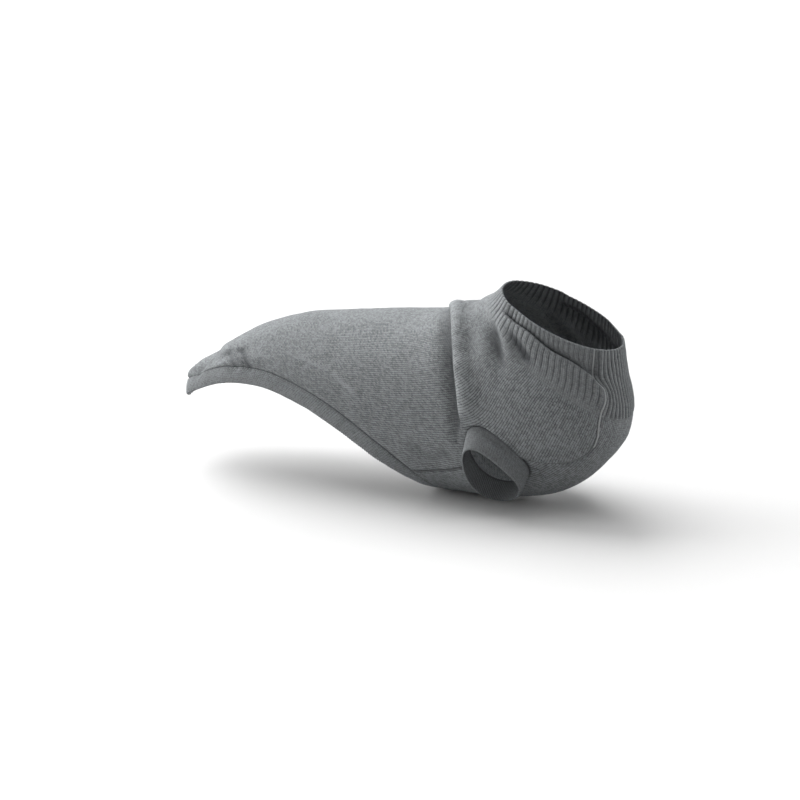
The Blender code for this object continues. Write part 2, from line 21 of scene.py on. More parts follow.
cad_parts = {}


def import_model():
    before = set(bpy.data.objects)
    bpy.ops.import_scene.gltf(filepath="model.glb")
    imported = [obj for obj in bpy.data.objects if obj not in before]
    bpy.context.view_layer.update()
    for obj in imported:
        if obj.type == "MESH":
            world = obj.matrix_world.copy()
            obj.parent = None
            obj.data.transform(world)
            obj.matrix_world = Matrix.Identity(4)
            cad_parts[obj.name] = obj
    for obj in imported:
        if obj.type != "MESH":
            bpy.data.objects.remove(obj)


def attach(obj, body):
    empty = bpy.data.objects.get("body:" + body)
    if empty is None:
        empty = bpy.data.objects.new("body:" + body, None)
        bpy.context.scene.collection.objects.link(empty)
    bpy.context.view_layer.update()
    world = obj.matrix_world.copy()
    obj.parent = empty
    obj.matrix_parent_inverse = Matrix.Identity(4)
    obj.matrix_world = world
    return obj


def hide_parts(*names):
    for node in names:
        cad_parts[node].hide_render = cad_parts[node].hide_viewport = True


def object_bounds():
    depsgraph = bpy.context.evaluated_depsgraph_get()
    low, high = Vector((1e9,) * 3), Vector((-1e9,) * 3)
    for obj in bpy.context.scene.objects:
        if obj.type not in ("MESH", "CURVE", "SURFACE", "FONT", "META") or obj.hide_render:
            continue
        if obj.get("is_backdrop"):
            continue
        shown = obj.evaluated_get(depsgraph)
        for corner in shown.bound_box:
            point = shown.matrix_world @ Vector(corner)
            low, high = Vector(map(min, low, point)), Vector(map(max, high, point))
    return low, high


Array = np.ndarray
LOG = logging.getLogger("dog_sweater")

# ---- The worn form, as the solids have it ----
# Rings round the body: top and bottom from the tail and the ground, half width, and how far the widest place lies
# below the middle, in radians.
RINGS = np.array([
    # place  top x  top z   foot x  foot z  half width  droop
    (0.00, -0.0270, 0.0880, 0.0300, 0.030, 0.0680, 0.10),
    (0.06, -0.0195, 0.1407, 0.0450, 0.028, 0.0780, 0.10),
    (0.12, 0.0253, 0.1755, 0.0700, 0.026, 0.0935, 0.10),
    (0.18, 0.0764, 0.2088, 0.1050, 0.024, 0.1015, 0.11),
    (0.26, 0.1480, 0.2355, 0.1600, 0.022, 0.1075, 0.12),
    (0.36, 0.2400, 0.2505, 0.2400, 0.018, 0.1120, 0.14),
    (0.48, 0.3300, 0.2604, 0.3350, 0.014, 0.1180, 0.16),
    (0.58, 0.3900, 0.2675, 0.4300, 0.012, 0.1220, 0.18),
    (0.66, 0.4250, 0.2805, 0.5200, 0.014, 0.1240, 0.18),
    (0.74, 0.4480, 0.2860, 0.6070, 0.040, 0.1195, 0.14),
    (0.82, 0.4620, 0.2900, 0.6710, 0.105, 0.1100, 0.06),
    (0.88, 0.4750, 0.2960, 0.6825, 0.150, 0.0950, 0.02),
    (0.94, 0.4900, 0.3060, 0.6725, 0.200, 0.0875, 0.00),
    (1.00, 0.5050, 0.3200, 0.6640, 0.255, 0.0820, 0.00),
])
WITHERS_PLACE, BREAST_PLACE, RIB_PLACE, RIM_PLACE = 0.62, 0.815, 0.872, 0.985
# Lines round the body, each a table of angles and places.
HEM_LINE = np.array([
    (0.0, 0.050), (26.0, 0.054), (40.0, 0.062), (48.0, 0.084), (55.0, 0.134), (62.9, 0.188), (72.8, 0.267),
    (86.6, 0.349), (106.0, 0.446), (128.0, 0.518), (150.0, 0.553), (180.0, 0.563),
])
SHOULDER_LINE = np.array([
    (0.0, 0.595), (24.0, 0.660), (43.0, 0.692), (60.0, 0.698), (76.0, 0.6925), (87.0, 0.685), (100.0, 0.672),
    (111.0, 0.662), (118.0, 0.659), (129.0, 0.664), (180.0, 0.664),
])
TUCK_LINE = np.array([
    (0.0, 0.952), (41.0, 0.946), (63.5, 0.950), (83.5, 0.957), (94.5, 0.953), (105.0, 0.950), (122.5, 0.949),
    (140.0, 0.937), (153.0, 0.919), (167.0, 0.921), (180.0, 0.924),
])
COLLAR_LINE = np.array([(0.0, RIB_PLACE), (180.0, RIB_PLACE)])
# The chest seam's places and angles, and how far the hem's free edge draws in at each angle.
CHEST_SEAM = np.array([
    (0.500, 143.5), (0.600, 137.0), (0.664, 129.0), (0.700, 126.2), (0.737, 128.9), (0.768, 143.3), (0.800, 153.0),
    (0.830, 151.3), (0.856, 147.8), (0.882, 147.6), (0.905, 151.5), (0.920, 151.5), (0.943, 144.5), (0.966, 145.4),
    (1.000, 148.2),
])
HEM_GRIP = np.array([
    (0.0, 0.0050), (30.0, 0.0048), (60.0, 0.0020), (85.0, -0.0020), (108.0, -0.0060), (130.0, -0.0050),
    (155.0, -0.0010), (180.0, 0.0000),
])
HEM_WIDTH = 0.0245
# A leg hole's middle and half length as places, and its half widths in degrees outside and inside the chest seam.
# A cuff's open end lies that run from its seam and has that share of its size.
HOLE_PLACE, HOLE_HALF, HOLE_OUTER, HOLE_INNER = 0.7005, 0.0365, 20.0, 19.0
CUFF_RUN, CUFF_TAPER = np.array((-0.0016, -0.0179, -0.0266)), 0.92
CLOTH = 0.0022
BORDER = 0.0011  # over which a wall thins to its edge
COURSE, RIB_COURSE = 0.0027, 0.0026
RIB_WALES = 2
SETTLE_STEPS = 12
ANGLE_STEP, PLACE_STEP = 0.25, 0.002  # for the form's slopes


# ---- Curves ----
def through(table: Array, at: Array | float) -> Array:
    """The smooth curve through a table's rows.

    Args:
        table: rows whose first column is the parameter.
        at: the parameter values to read.

    Returns:
        The other columns at each value.
    """
    knots, rows = table[:, 0], table[:, 1:]
    spans = np.diff(knots)[:, None]
    slopes = np.diff(rows, axis=0) / spans
    tangents = np.vstack((
        slopes[:1],
        (slopes[:-1] * spans[1:] + slopes[1:] * spans[:-1]) / (spans[1:] + spans[:-1]),
        slopes[-1:],
    ))
    at = np.asarray(at, float)
    left = np.clip(np.searchsorted(knots, at, side="right") - 1, 0, len(knots) - 2)
    span = spans[left]
    t = ((at - knots[left]) / span[..., 0])[..., None]
    return (
        (2 * t**3 - 3 * t**2 + 1) * rows[left]
        + (t**3 - 2 * t**2 + t) * span * tangents[left]
        + (3 * t**2 - 2 * t**3) * rows[left + 1]
        + (t**3 - t**2) * span * tangents[left + 1]
    )


def on_right(angle: Array) -> Array:
    """The angle on the right half that mirrors this one."""
    return 180 - np.abs(180 - np.mod(angle, 360))


def place_on(line: Array, angle: Array) -> Array:
    """The place at an angle of a line round the body that is the same on both sides."""
    return through(line, on_right(angle))[..., 0]


def seam_angle(place: Array | float) -> Array:
    """The chest seam's angle at a place."""
    return through(CHEST_SEAM, place)[..., 0]


def seam_meets(line: Array, near: float) -> float:
    """Where the chest seam meets a line round the body.

    Args:
        line: the line.
        near: a place close by.

    Returns:
        The place.
    """
    for _ in range(SETTLE_STEPS):
        near = float(place_on(line, seam_angle(near)))
    return near


def hole_edge(turn: Array) -> tuple[Array, Array]:
    """The edge of the right leg hole.

    Args:
        turn: degrees round the hole from its rear end.

    Returns:
        The edge's angles and places.
    """
    along, across = -np.cos(np.radians(turn)), -np.sin(np.radians(turn))
    place = HOLE_PLACE + HOLE_HALF * along
    return seam_angle(place) + np.where(across < 0, HOLE_OUTER, HOLE_INNER) * across, place


def smooth_step(value: Array) -> Array:
    """0 below 0, 1 above 1, and a soft rise between."""
    value = np.clip(value, 0, 1)
    return value**3 * (value * (6 * value - 15) + 10)


def bell(value: Array, middle: float, width: float) -> Array:
    """1 at the middle, and softly down to 0 beyond two widths."""
    return np.exp(-(((value - middle) / width) ** 2))


def unit(vectors: Array) -> Array:
    """The vectors at length 1."""
    return vectors / np.maximum(np.linalg.norm(vectors, axis=-1, keepdims=True), 1e-12)


def travelled(points: Array) -> Array:
    """How far each point of a row lies along it."""
    return np.concatenate(((0,), np.cumsum(np.linalg.norm(np.diff(points, axis=0), axis=1))))


def _plain_point(angle: Array | float, place: Array | float) -> Array:
    """A point of the plain form, from the tail and the ground.

    Args:
        angle: its angle.
        place: its place.

    Returns:
        The point.
    """
    turn = np.radians(angle)
    top_x, top_z, foot_x, foot_z, half_width, droop = np.moveaxis(through(RINGS, place), -1, 0)
    share = (1 + np.cos(turn - droop * np.sin(turn))) / 2
    x = top_x * share + foot_x * (1 - share)
    z = top_z * share + foot_z * (1 - share)
    return np.stack((x, -half_width * np.sin(turn), z), -1)


ORIGIN = _plain_point(np.array(0.0), np.array(WITHERS_PLACE))


def ring_point(angle: Array | float, place: Array | float) -> Array:
    """A point of the plain form, in the part's frame."""
    return _plain_point(angle, place) - ORIGIN


def slopes_at(angle: Array, place: Array) -> tuple[Array, Array]:
    """How the form runs at points.

    Args:
        angle: their angles.
        place: their places.

    Returns:
        The slopes with the angle and with the place.
    """
    by_angle = ring_point(angle + ANGLE_STEP, place) - ring_point(angle - ANGLE_STEP, place)
    by_place = ring_point(angle, place + PLACE_STEP) - ring_point(angle, place - PLACE_STEP)
    return by_angle / (2 * ANGLE_STEP), by_place / (2 * PLACE_STEP)


def outward(angle: Array, place: Array) -> Array:
    """The form's outward direction."""
    return unit(np.cross(*slopes_at(angle, place)))


def from_hole(angle: Array, place: Array) -> Array:
    """How far points lie from the middle of the leg hole on their side.

    Args:
        angle: their angles.
        place: their places.

    Returns:
        The distances, 1 at the hole's edge.
    """
    across = on_right(angle) - seam_angle(place)
    across = across / np.where(across < 0, HOLE_OUTER, HOLE_INNER)
    return np.hypot(across, (place - HOLE_PLACE) / HOLE_HALF)


# ---- Folds ----
# A trough this deep gets its full painted shade. The painted shade is darkest this share of the way to its lip,
# over this share of its width, and each metre of lip paints this much highlight on the lip.
FULL_SHADE_DEPTH, SHADE_AT, SHADE_WIDTH, LIP_HIGHLIGHT = 0.0066, 0.18, 0.75, 50
CRISP_WIDTH = 0.7
LINE_STEPS, SHOULDER_STEPS, TUCK_STEPS, SWELL_STEPS = 6, 14, 40, 121


@dataclass(frozen=True)
class Fold:
    """A trough along a line over the cloth, with a raised lip beside it.

    The lip lies ahead of a line that is drawn down the right side or up the left side. crisp pulls the cloth
    together between the trough and the lip, which makes the step there steep. closed is how much painted shade
    darkens the bottom; on a ridge of negative depth it paints a highlight instead. end_fade is the share of the line
    over which each end fades.
    """

    depth: float
    width: float
    lip: float
    lip_distance: float
    line: tuple[tuple[float, float], ...]
    crisp: float = 0.0
    closed: float = 0.55
    end_fade: float = 0.2

    def points(self) -> Array:
        """The line's points over the form.

        Returns:
            The points.
        """
        spans = len(self.line) - 1
        table = np.column_stack((np.arange(spans + 1), np.array(self.line, float)))
        return ring_point(*np.moveaxis(through(table, np.linspace(0, spans, spans * LINE_STEPS + 1)), -1, 0))

    def shape(self, distance: Array) -> tuple[Array, Array]:
        """How the cloth is moved beside the line.

        Args:
            distance: distances ahead of the line.

        Returns:
            How far it is raised, and how far it is moved ahead.
        """
        raised = self.lip * bell(distance, self.lip_distance, self.width) - self.depth * bell(distance, 0, self.width)
        apart = (distance - self.lip_distance / 2) / (self.width * CRISP_WIDTH)
        return raised, -self.crisp * apart * bell(apart, 0, 1)

    def crease(self, distance: Array) -> Array:
        """The shade painted beside the line, and the highlight painted on its lip.

        Args:
            distance: distances ahead of the line.

        Returns:
            The painted shade, from 0 to 1, or below 0 where a highlight is painted on a lip or a ridge.
        """
        closed = min(1.0, self.depth / FULL_SHADE_DEPTH) * self.closed
        closed = closed * bell(distance, self.lip_distance * SHADE_AT, self.width * SHADE_WIDTH)
        return closed - LIP_HIGHLIGHT * self.lip * bell(distance, self.lip_distance, self.width)


@dataclass(frozen=True)
class Tuck:
    """A line above which the collar slips behind the cloth below it, whose edge hangs a little over it.

    groove is the shade painted along the line: how dark it is, how far ahead its darkest part lies, and how wide that
    is.
    """

    side: int
    first: float
    last: float
    step: float
    lip: float
    recovery: float
    overhang: float
    end_fade: float = 0.14
    rise: float = 0.0035
    lip_share: float = 0.6
    hang_reach: float = 0.0042
    groove: tuple[float, float, float] = (1.5, 0.0034, 0.0018)

    def points(self) -> Array:
        """The line's points over the form."""
        angle = self.side * np.linspace(self.first, self.last, TUCK_STEPS)[:: self.side]
        return ring_point(angle, place_on(TUCK_LINE, angle))

    def shape(self, distance: Array) -> tuple[Array, Array]:
        """How the cloth is moved beside the line.

        Args:
            distance: distances ahead of the line.

        Returns:
            How far it is raised, and how far it is moved ahead.
        """
        above = smooth_step(distance / self.rise + 0.5)
        stepped_in = self.step * np.exp(-np.maximum(distance, 0) / self.recovery)
        lip = self.lip * bell(distance, 0, self.recovery * self.lip_share)
        apart = distance / self.hang_reach
        return (1 - above) * lip - above * stepped_in, -self.overhang * apart * bell(apart, 0, 1)

    def crease(self, distance: Array) -> Array:
        """The shade painted at distances ahead of the line."""
        dark, ahead, width = self.groove
        return dark * bell(distance, ahead, width)


def _shoulder(side: int, first: float, last: float) -> tuple[tuple[float, float], ...]:
    """Rows of (angle, place) along the shoulder line, down the right side (1) or up the left one (-1)."""
    angles = side * np.linspace(first, last, SHOULDER_STEPS)[::side]
    return tuple((float(angle), float(place_on(SHOULDER_LINE, angle))) for angle in angles)


RIGHT_NECK_DRAG = ((42, 0.890), (50, 0.880), (58, 0.868), (66, 0.853), (73, 0.838), (80, 0.822), (90, 0.797))
RIGHT_COLLAR_DRAG = (
    (56, 0.932), (66.8, 0.917), (75.5, 0.908), (81.5, 0.901), (86, 0.894), (90.2, 0.887), (100, 0.868),
)
RIGHT_FLANK_RIDGE = ((71.8, 0.403), (75.2, 0.417), (79, 0.432), (82.5, 0.446), (86.2, 0.460), (90.5, 0.471))
FOLDS: tuple[Fold | Tuck, ...] = (
    # the shoulders
    Fold(0.0070, 0.0110, 0.0064, 0.0165, _shoulder(1, -14, 126), 0.0080, 1.15),
    Fold(0.0054, 0.013, 0.0040, 0.017, _shoulder(-1, 22, 126), 0.0050, 0.8),
    Fold(0.0, 0.014, 0.0042, 0.024, _shoulder(1, 60, 128)),
    # drag lines from the neck, right and left
    Fold(0.0070, 0.009, 0.0032, 0.014, RIGHT_NECK_DRAG, 0.0018, 1.3, 0.5),
    Fold(0.0052, 0.009, 0.0020, 0.014, RIGHT_COLLAR_DRAG, 0.001, 1.7, 0.4),
    Fold(0.0030, 0.012, 0.0010, 0.018, ((44, 0.778), (53, 0.770), (65, 0.758), (74, 0.744), (84, 0.728))),
    Fold(0.0055, 0.011, 0.0025, 0.016, ((-90, 0.800), (-76, 0.828), (-64, 0.852), (-56, 0.868)), 0.003),
    Fold(0.0042, 0.011, 0.0020, 0.016, ((-98, 0.868), (-88, 0.888), (-76, 0.910))),
    # the collar at the chest seam
    Fold(0.0030, 0.006, 0.0034, 0.008, ((149.5, 0.992), (147, 0.972), (144, 0.952), (147, 0.934)), 0.003),
    # the flanks: two ridges that carry a painted highlight, and a soft trough
    Fold(-0.0016, 0.0034, 0.0, -0.0075, ((60, 0.322), (65, 0.348), (69.8, 0.381), (73.8, 0.405)), 0, 2.4),
    Fold(-0.0022, 0.0032, 0.0, -0.0070, RIGHT_FLANK_RIDGE, 0, 3.2),
    Fold(0.0050, 0.020, 0.0015, 0.030, ((-92, 0.450), (-74, 0.400), (-56, 0.330))),
    # beside the hem seam, right and left
    Fold(0.0036, 0.012, 0.0018, 0.018, ((6, 0.118), (24, 0.124), (42, 0.150), (54, 0.178)), 0.002),
    Fold(0.0044, 0.0080, 0.0018, 0.0120, ((42, 0.170), (53.5, 0.186), (61.8, 0.198), (74, 0.215)), 0, 0.95),
    Fold(0.0046, 0.0076, 0.0018, 0.0120, ((45, 0.198), (57, 0.217), (64.5, 0.229), (77, 0.249)), 0, 1.1),
    Fold(0.0026, 0.0050, 0.0010, 0.0080, ((30, 0.092), (38.8, 0.103), (46, 0.111), (53, 0.122))),
    Fold(0.0022, 0.0045, 0.0010, 0.0080, ((32, 0.078), (43.8, 0.091), (50, 0.100), (56, 0.112))),
    Fold(0.0045, 0.014, 0.0020, 0.020, ((-58, 0.190), (-44, 0.156), (-20, 0.124))),
    Fold(0.0035, 0.013, 0.0020, 0.018, ((-78, 0.276), (-68, 0.236), (-60, 0.206))),
    # behind the legs, over the neck and under the belly
    Fold(0.0030, 0.013, 0.0010, 0.020, ((118, 0.560), (128, 0.600), (122, 0.640))),
    Fold(0.0040, 0.012, 0.0020, 0.017, ((-34, 0.800), (-12, 0.776), (10, 0.772), (32, 0.792)), 0.002),
    Fold(0.0025, 0.012, 0.0015, 0.017, ((-24, 0.724), (0, 0.708), (20, 0.714))),
    Fold(0.0040, 0.014, 0.0015, 0.021, ((166, 0.640), (180, 0.632), (194, 0.642))),
    # the collar behind its own lower edge
    Tuck(1, 48.0, 154.0, 0.0066, 0.0026, 0.034, 0.0062),
    Tuck(-1, 60.0, 134.0, 0.0058, 0.0022, 0.028, 0.0045),
)


@dataclass(frozen=True)
class Drape:
    """How the cloth lies over the form: its folds, its swell over the hem seam and its soft unevenness.

    waves are the height, count and start of the swell's waves round the body, and bulges are the middle, width and
    height of its bulges. The folds stop at hole_plain times a leg hole's size and are whole hole_fade further out.
    """

    folds: tuple[Fold | Tuck, ...] = FOLDS
    reach: float = 0.075
    puff: float = 0.0040
    puff_reach: float = 0.010
    puff_even: float = 0.40
    waves: tuple[tuple[float, float, float], ...] = ((0.12, 5, 0.6), (0.08, 13, 0.0))
    bulges: tuple[tuple[float, float, float], ...] = (
        (0.0, 30.0, 0.35), (38.0, 9.0, 0.9), (60.0, 7.0, 0.5), (-34.0, 12.0, 0.7),
    )
    hole_plain: float = 1.15
    hole_fade: float = 0.4
    painted_shade_fade: float = 0.15
    ripple: float = 0.0011
    ripple_size: float = 0.045
    ripple_cell: float = 0.004
    ripple_by_hole: float = 0.3
    finer: tuple[float, float] = (0.5, 2.3)

    def _from_line(self, points: Array, normals: Array, line: Array) -> tuple[Array, Array, Array]:
        """Where points lie from a line.

        Args:
            points: the points.
            normals: the cloth's outward directions there.
            line: the line's points.

        Returns:
            Distances from it (below 0 behind it), the share along it, and the direction ahead of it.
        """
        nearest = np.full(len(points), np.inf)
        share = np.zeros(len(points))
        ahead = np.zeros_like(points)
        for index, (start, end) in enumerate(zip(line[:-1], line[1:])):
            run = end - start
            along = np.clip((points - start) @ run / (run @ run), 0, 1)
            apart = points - start - along[:, None] * run
            facing = np.cross(normals, run)
            distance = np.linalg.norm(apart, axis=1)
            nearer = distance < np.abs(nearest)
            signed = np.where(np.sum(apart * facing, axis=1) < 0, -distance, distance)
            nearest[nearer] = signed[nearer]
            share[nearer] = ((index + along) / (len(line) - 1))[nearer]
            ahead[nearer] = facing[nearer]
        return nearest, share, unit(ahead)

    def _ripples(self, points: Array) -> Array:
        """The soft unevenness of knit that lies over fur, the same at each run.

        Args:
            points: the points.

        Returns:
            How far each one stands out.
        """
        cells, cell_of = np.unique(
            np.round(points / self.ripple_cell).astype(np.int64), axis=0, return_inverse=True
        )
        weaker, finer = self.finer
        spots = [Vector(spot) / self.ripple_size for spot in cells * self.ripple_cell]
        value = np.array([noise.noise(spot) + weaker * noise.noise(spot * finer) for spot in spots])
        return self.ripple * value[cell_of.reshape(-1)]

    def _swell(self, angle: Array, points: Array, normals: Array) -> Array:
        """How far the body's knit stands out over the hem seam, unevenly round it.

        Args:
            angle: the points' angles.
            points: the points.
            normals: the cloth's outward directions there.

        Returns:
            The heights.
        """
        round_body = np.linspace(0, 360, SWELL_STEPS)
        distance, _, _ = self._from_line(points, normals, ring_point(round_body, place_on(HEM_LINE, round_body)))
        reach = np.abs(distance) / self.puff_reach
        uneven = self.puff_even + sum(high * np.sin(count * np.radians(angle) + at) for high, count, at in self.waves)
        for middle, width, more in self.bulges:
            uneven = uneven + more * bell(np.mod(angle - middle + 180, 360) - 180, 0, width)
        return self.puff * uneven * reach * np.exp(1 - reach)

    def laid(self, angle: Array, place: Array, swollen: bool = False) -> tuple[Array, Array, Array]:
        """The inside of the cloth and its outward direction.

        Args:
            angle: the points' angles, as a table of rows and columns.
            place: their places.
            swollen: whether the cloth swells over the hem seam.

        Returns:
            The points, the plain form's outward directions, and the shade painted at each point for the creases it
            lies in, up to 1 and below 0 where a highlight is painted on a ridge or a lip.
        """
        points = ring_point(angle, place).reshape(-1, 3)
        normals = outward(angle, place).reshape(-1, 3)
        height, crease, moved = np.zeros(len(points)), np.zeros(len(points)), np.zeros_like(points)
        for fold in self.folds:
            line = fold.points()
            low, high = line.min(axis=0) - self.reach, line.max(axis=0) + self.reach
            near = np.flatnonzero(np.all((points > low) & (points < high), axis=1))
            if not len(near):
                continue
            distance, share, ahead = self._from_line(points[near], normals[near], line)
            ends = smooth_step(share / fold.end_fade) * smooth_step((1 - share) / fold.end_fade)
            raised, shifted = fold.shape(distance)
            height[near] += ends * raised
            crease[near] += ends * fold.crease(distance)
            moved[near] += (ends * shifted)[:, None] * ahead
        if swollen:
            height += self._swell(angle.reshape(-1), points, normals)
        off_hole = from_hole(angle, place).reshape(-1)
        fade = smooth_step((off_hole - self.hole_plain) / self.hole_fade)
        uneven = self._ripples(points) * (self.ripple_by_hole + (1 - self.ripple_by_hole) * fade)
        points = points + normals * (height * fade + uneven)[:, None] + moved * fade[:, None]
        # The painted shade sets in just outside a leg hole and is capped at 1.
        crease = np.minimum(crease * smooth_step((off_hole - 1) / self.painted_shade_fade), 1.0)
        shape = angle.shape + (3,)
        return points.reshape(shape), normals.reshape(shape), crease.reshape(angle.shape)


# ---- Stitch maps ----
@dataclass
class StitchMap:
    """Counts wales round the body and courses along it, so that stitches keep their size over the form.

    Lengths are measured on lines one degree apart, in steps of a place, from first to last. The lean sets in at a
    place, over a reach, and grows down the sides as far as an angle.
    """

    wales: float = 231.0
    first: float = -0.1
    last: float = 1.05
    step: float = 0.01
    lean_start: float = 0.66
    lean_reach: float = 0.20
    lean_angle: float = 100.0
    _arc: Array = field(init=False)
    _length: Array = field(init=False)

    def __post_init__(self) -> None:
        """Measures the form."""
        angles = np.arange(181.0)
        arc = travelled(ring_point(angles, np.full_like(angles, RIB_PLACE)))
        self._arc = arc / arc[-1] * self.wales / 2
        places = np.linspace(self.first, self.last, round((self.last - self.first) / self.step) + 1)
        self._length = from_borders(np.swapaxes(ring_point(angles[:, None], places[None, :]), 0, 1))[0].T / COURSE

    def at(self, angle: Array, place: Array, lean: float = 0.0) -> Array:
        """U and V of points at these angles and places.

        Args:
            angle: each point's angle.
            place: each point's place.
            lean: how many wales each side's wales drift up towards the spine on their way to the neck.

        Returns:
            The stitch map.
        """
        half = on_right(angle)
        leaning = smooth_step((place - self.lean_start) / self.lean_reach) * smooth_step(half / self.lean_angle)
        around = np.interp(half, np.arange(181.0), self._arc) + lean * leaning
        around = np.where(angle < 0, -around, np.where(angle > 180, self.wales - around, around))
        column = np.clip(half, 0, 179.999)
        row = np.clip((place - self.first) / self.step, 0, self._length.shape[1] - 1.001)
        i, j = column.astype(int), row.astype(int)
        s, t = column - i, row - j
        before = self._length[i, j] * (1 - s) + self._length[i + 1, j] * s
        after = self._length[i, j + 1] * (1 - s) + self._length[i + 1, j + 1] * s
        return np.stack((around, before * (1 - t) + after * t), -1)


# ---- Meshes ----
LINE_SAMPLES = 721


def from_borders(points: Array) -> tuple[Array, Array, Array]:
    """How far each point of a grid lies from the grid's borders, along its column or its row.

    Args:
        points: the grid's points.

    Returns:
        The distances from the first row, from the last row, and from the nearer of the first and last columns.
    """
    down, across = (
        np.concatenate((np.zeros_like(steps[:1]), np.cumsum(steps, axis=0)))
        for steps in (np.linalg.norm(np.diff(grid, axis=0), axis=-1) for grid in (points, np.swapaxes(points, 0, 1)))
    )
    return down, down[-1:] - down, np.minimum(across, across[-1:] - across).T


def rolled(distance: Array, depth: float, reach: float) -> Array:
    """How far the cloth rolls inwards towards a border, by up to a depth and over a reach."""
    return -depth * (1 - np.clip(distance / reach, 0, 1)) ** 2


def equal_steps(line: Array, limit: float, count: int) -> Array:
    """Angles that part a line round the body into equal lengths.

    Args:
        line: the line.
        limit: the last angle; the first is 0.
        count: the number of lengths.

    Returns:
        The angles.
    """
    angle = np.linspace(0, limit, LINE_SAMPLES)
    length = travelled(ring_point(angle, place_on(line, angle)))
    return np.interp(np.linspace(0, length[-1], count + 1), length, angle)


def both_sides(half: Array) -> Array:
    """Distances from the middle, on its left and on its right."""
    return np.concatenate((-half[:0:-1], half))


def round_ring(half: Array) -> Array:
    """Angles all the way round from those of the right half."""
    return np.concatenate((half, 360 - half[-2::-1]))


def add_object(name: str, data: bpy.types.ID) -> bpy.types.Object:
    """Adds an object to the scene.

    Args:
        name: its name.
        data: its mesh, curve, light or camera.

    Returns:
        The object.
    """
    made = bpy.data.objects.new(name, data)
    bpy.context.scene.collection.objects.link(made)
    return made


def add_mesh(name: str, bm: bmesh.types.BMesh, *finishes: bpy.types.Material) -> bpy.types.Object:
    """Adds a mesh to the scene.

    Args:
        name: its name.
        bm: its faces, which this uses up.
        finishes: its materials.

    Returns:
        The object.
    """
    mesh = bpy.data.meshes.new(name)
    bm.to_mesh(mesh)
    bm.free()
    for finish in finishes:
        mesh.materials.append(finish)
    return add_object(name, mesh)


@dataclass
class ClothGrid:
    """A table of points over one piece of cloth, turned into a wall with rounded borders.

    inside lies on the fur's side, and the wall stands outward from it by the normals, raised by drop. uv is the
    stitch map. edge is the distance from the nearest border. crease is the shade painted into the knit's colour: 0 on
    open knit, 1 deep between two ribs or folds, and below 0 where a highlight is painted instead. closed joins the
    last column to the first. side mirrors a piece for the left, where it is -1.
    """

    name: str
    inside: Array
    normals: Array
    drop: Array
    uv: Array
    edge: Array
    crease: Array
    closed: bool = False
    side: int = 1
    border: float = BORDER
    border_share: float = 0.15
    merge: float = 1e-6

    def points(self) -> Array:
        """The middle of the wall.

        Returns:
            The points.
        """
        points = (self.inside + self.normals * (CLOTH / 2 + self.drop)[..., None]) * (1, self.side, 1)
        if self.closed:
            points[:, -1] = points[:, 0]
        return points

    def build(self, outer: bpy.types.Material, inner: bpy.types.Material) -> bpy.types.Object:
        """Makes the piece.

        Args:
            outer: the finish of its right side.
            inner: the finish of its wrong side.

        Returns:
            The object.
        """
        points, uv, crease = self.points(), self.uv, self.crease
        thin = np.clip(self.edge / self.border, 0, 1)
        if self.side < 0:
            points, uv, crease = points[:, ::-1], uv[:, ::-1], crease[:, ::-1]
        rows, columns = points.shape[:2]
        bm = bmesh.new()
        stitches = bm.loops.layers.uv.new("Stitches")
        # Each point carries its painted shade in a float layer, which the knit's material reads to darken its colour.
        wall_share, painted_shade_layer = bm.verts.layers.deform.new("thin"), bm.verts.layers.float.new("PaintedShade")
        made = bmesh.ops.create_grid(bm, x_segments=columns - 1, y_segments=rows - 1, size=0.5)
        for vert in made["verts"]:
            at = round((vert.co.y + 0.5) * (rows - 1)), round((vert.co.x + 0.5) * (columns - 1))
            vert.co = points[at]
            vert[wall_share][0], vert[painted_shade_layer] = float(thin[at]), float(crease[at])
            for loop in vert.link_loops:
                loop[stitches].uv = uv[at]
        if self.closed:
            bmesh.ops.remove_doubles(bm, verts=[v for v in bm.verts if v.is_boundary], dist=self.merge)
        bm.normal_update()
        piece = add_mesh(self.name, bm, outer, inner)
        piece.data.shade_smooth()
        piece.vertex_groups.new(name="thin")
        wall = piece.modifiers.new("Wall", "SOLIDIFY")
        wall.thickness, wall.offset, wall.use_even_offset = CLOTH, 0.0, False
        wall.vertex_group, wall.thickness_vertex_group = "thin", self.border_share
        wall.material_offset, wall.material_offset_rim = 1, 0
        return piece

    def area(self) -> float:
        """The area of the cloth in the middle of its wall.

        Returns:
            The area in square metres.
        """
        points = self.points()
        a, b = points[1:, 1:] - points[:-1, :-1], points[1:, :-1] - points[:-1, 1:]
        return float(np.linalg.norm(np.cross(a, b), axis=-1).sum() / 2)


# ---- Shader maths ----
NOISE_ROUGHNESS = 0.55


@dataclass(frozen=True)
class Value:
    """A number socket in a material, with Python's operators as Math nodes."""

    shader: "ShaderTree"
    socket: bpy.types.NodeSocket

    def _math(self, operation: str, *values: "Value | float") -> "Value":
        """One Math node on this value and others."""
        return Value(self.shader, self.shader.node("ShaderNodeMath", {"operation": operation}, self, *values))

    def __add__(self, other: "Value | float") -> "Value":
        """The sum."""
        return self._math("ADD", other)

    __radd__ = __add__

    def __mul__(self, other: "Value | float") -> "Value":
        """The product."""
        return self._math("MULTIPLY", other)

    __rmul__ = __mul__

    def __sub__(self, other: "Value | float") -> "Value":
        """The difference."""
        return self._math("SUBTRACT", other)

    def __rsub__(self, other: float) -> "Value":
        """The difference from a number."""
        return (self * -1) + other

    def __pow__(self, power: float) -> "Value":
        """The power."""
        return self._math("POWER", power)

    def fraction(self) -> "Value":
        """The part after the decimal point."""
        return self._math("FRACT")

    def floor(self) -> "Value":
        """The whole number below."""
        return self._math("FLOOR")

    def magnitude(self) -> "Value":
        """The value without its sign."""
        return self._math("ABSOLUTE")

    def arch(self) -> "Value":
        """The sine of the value in half turns."""
        return (self * math.pi)._math("SINE")

    def clipped(self) -> "Value":
        """The value between 0 and 1."""
        return self._math("MINIMUM", 1.0)._math("MAXIMUM", 0.0)


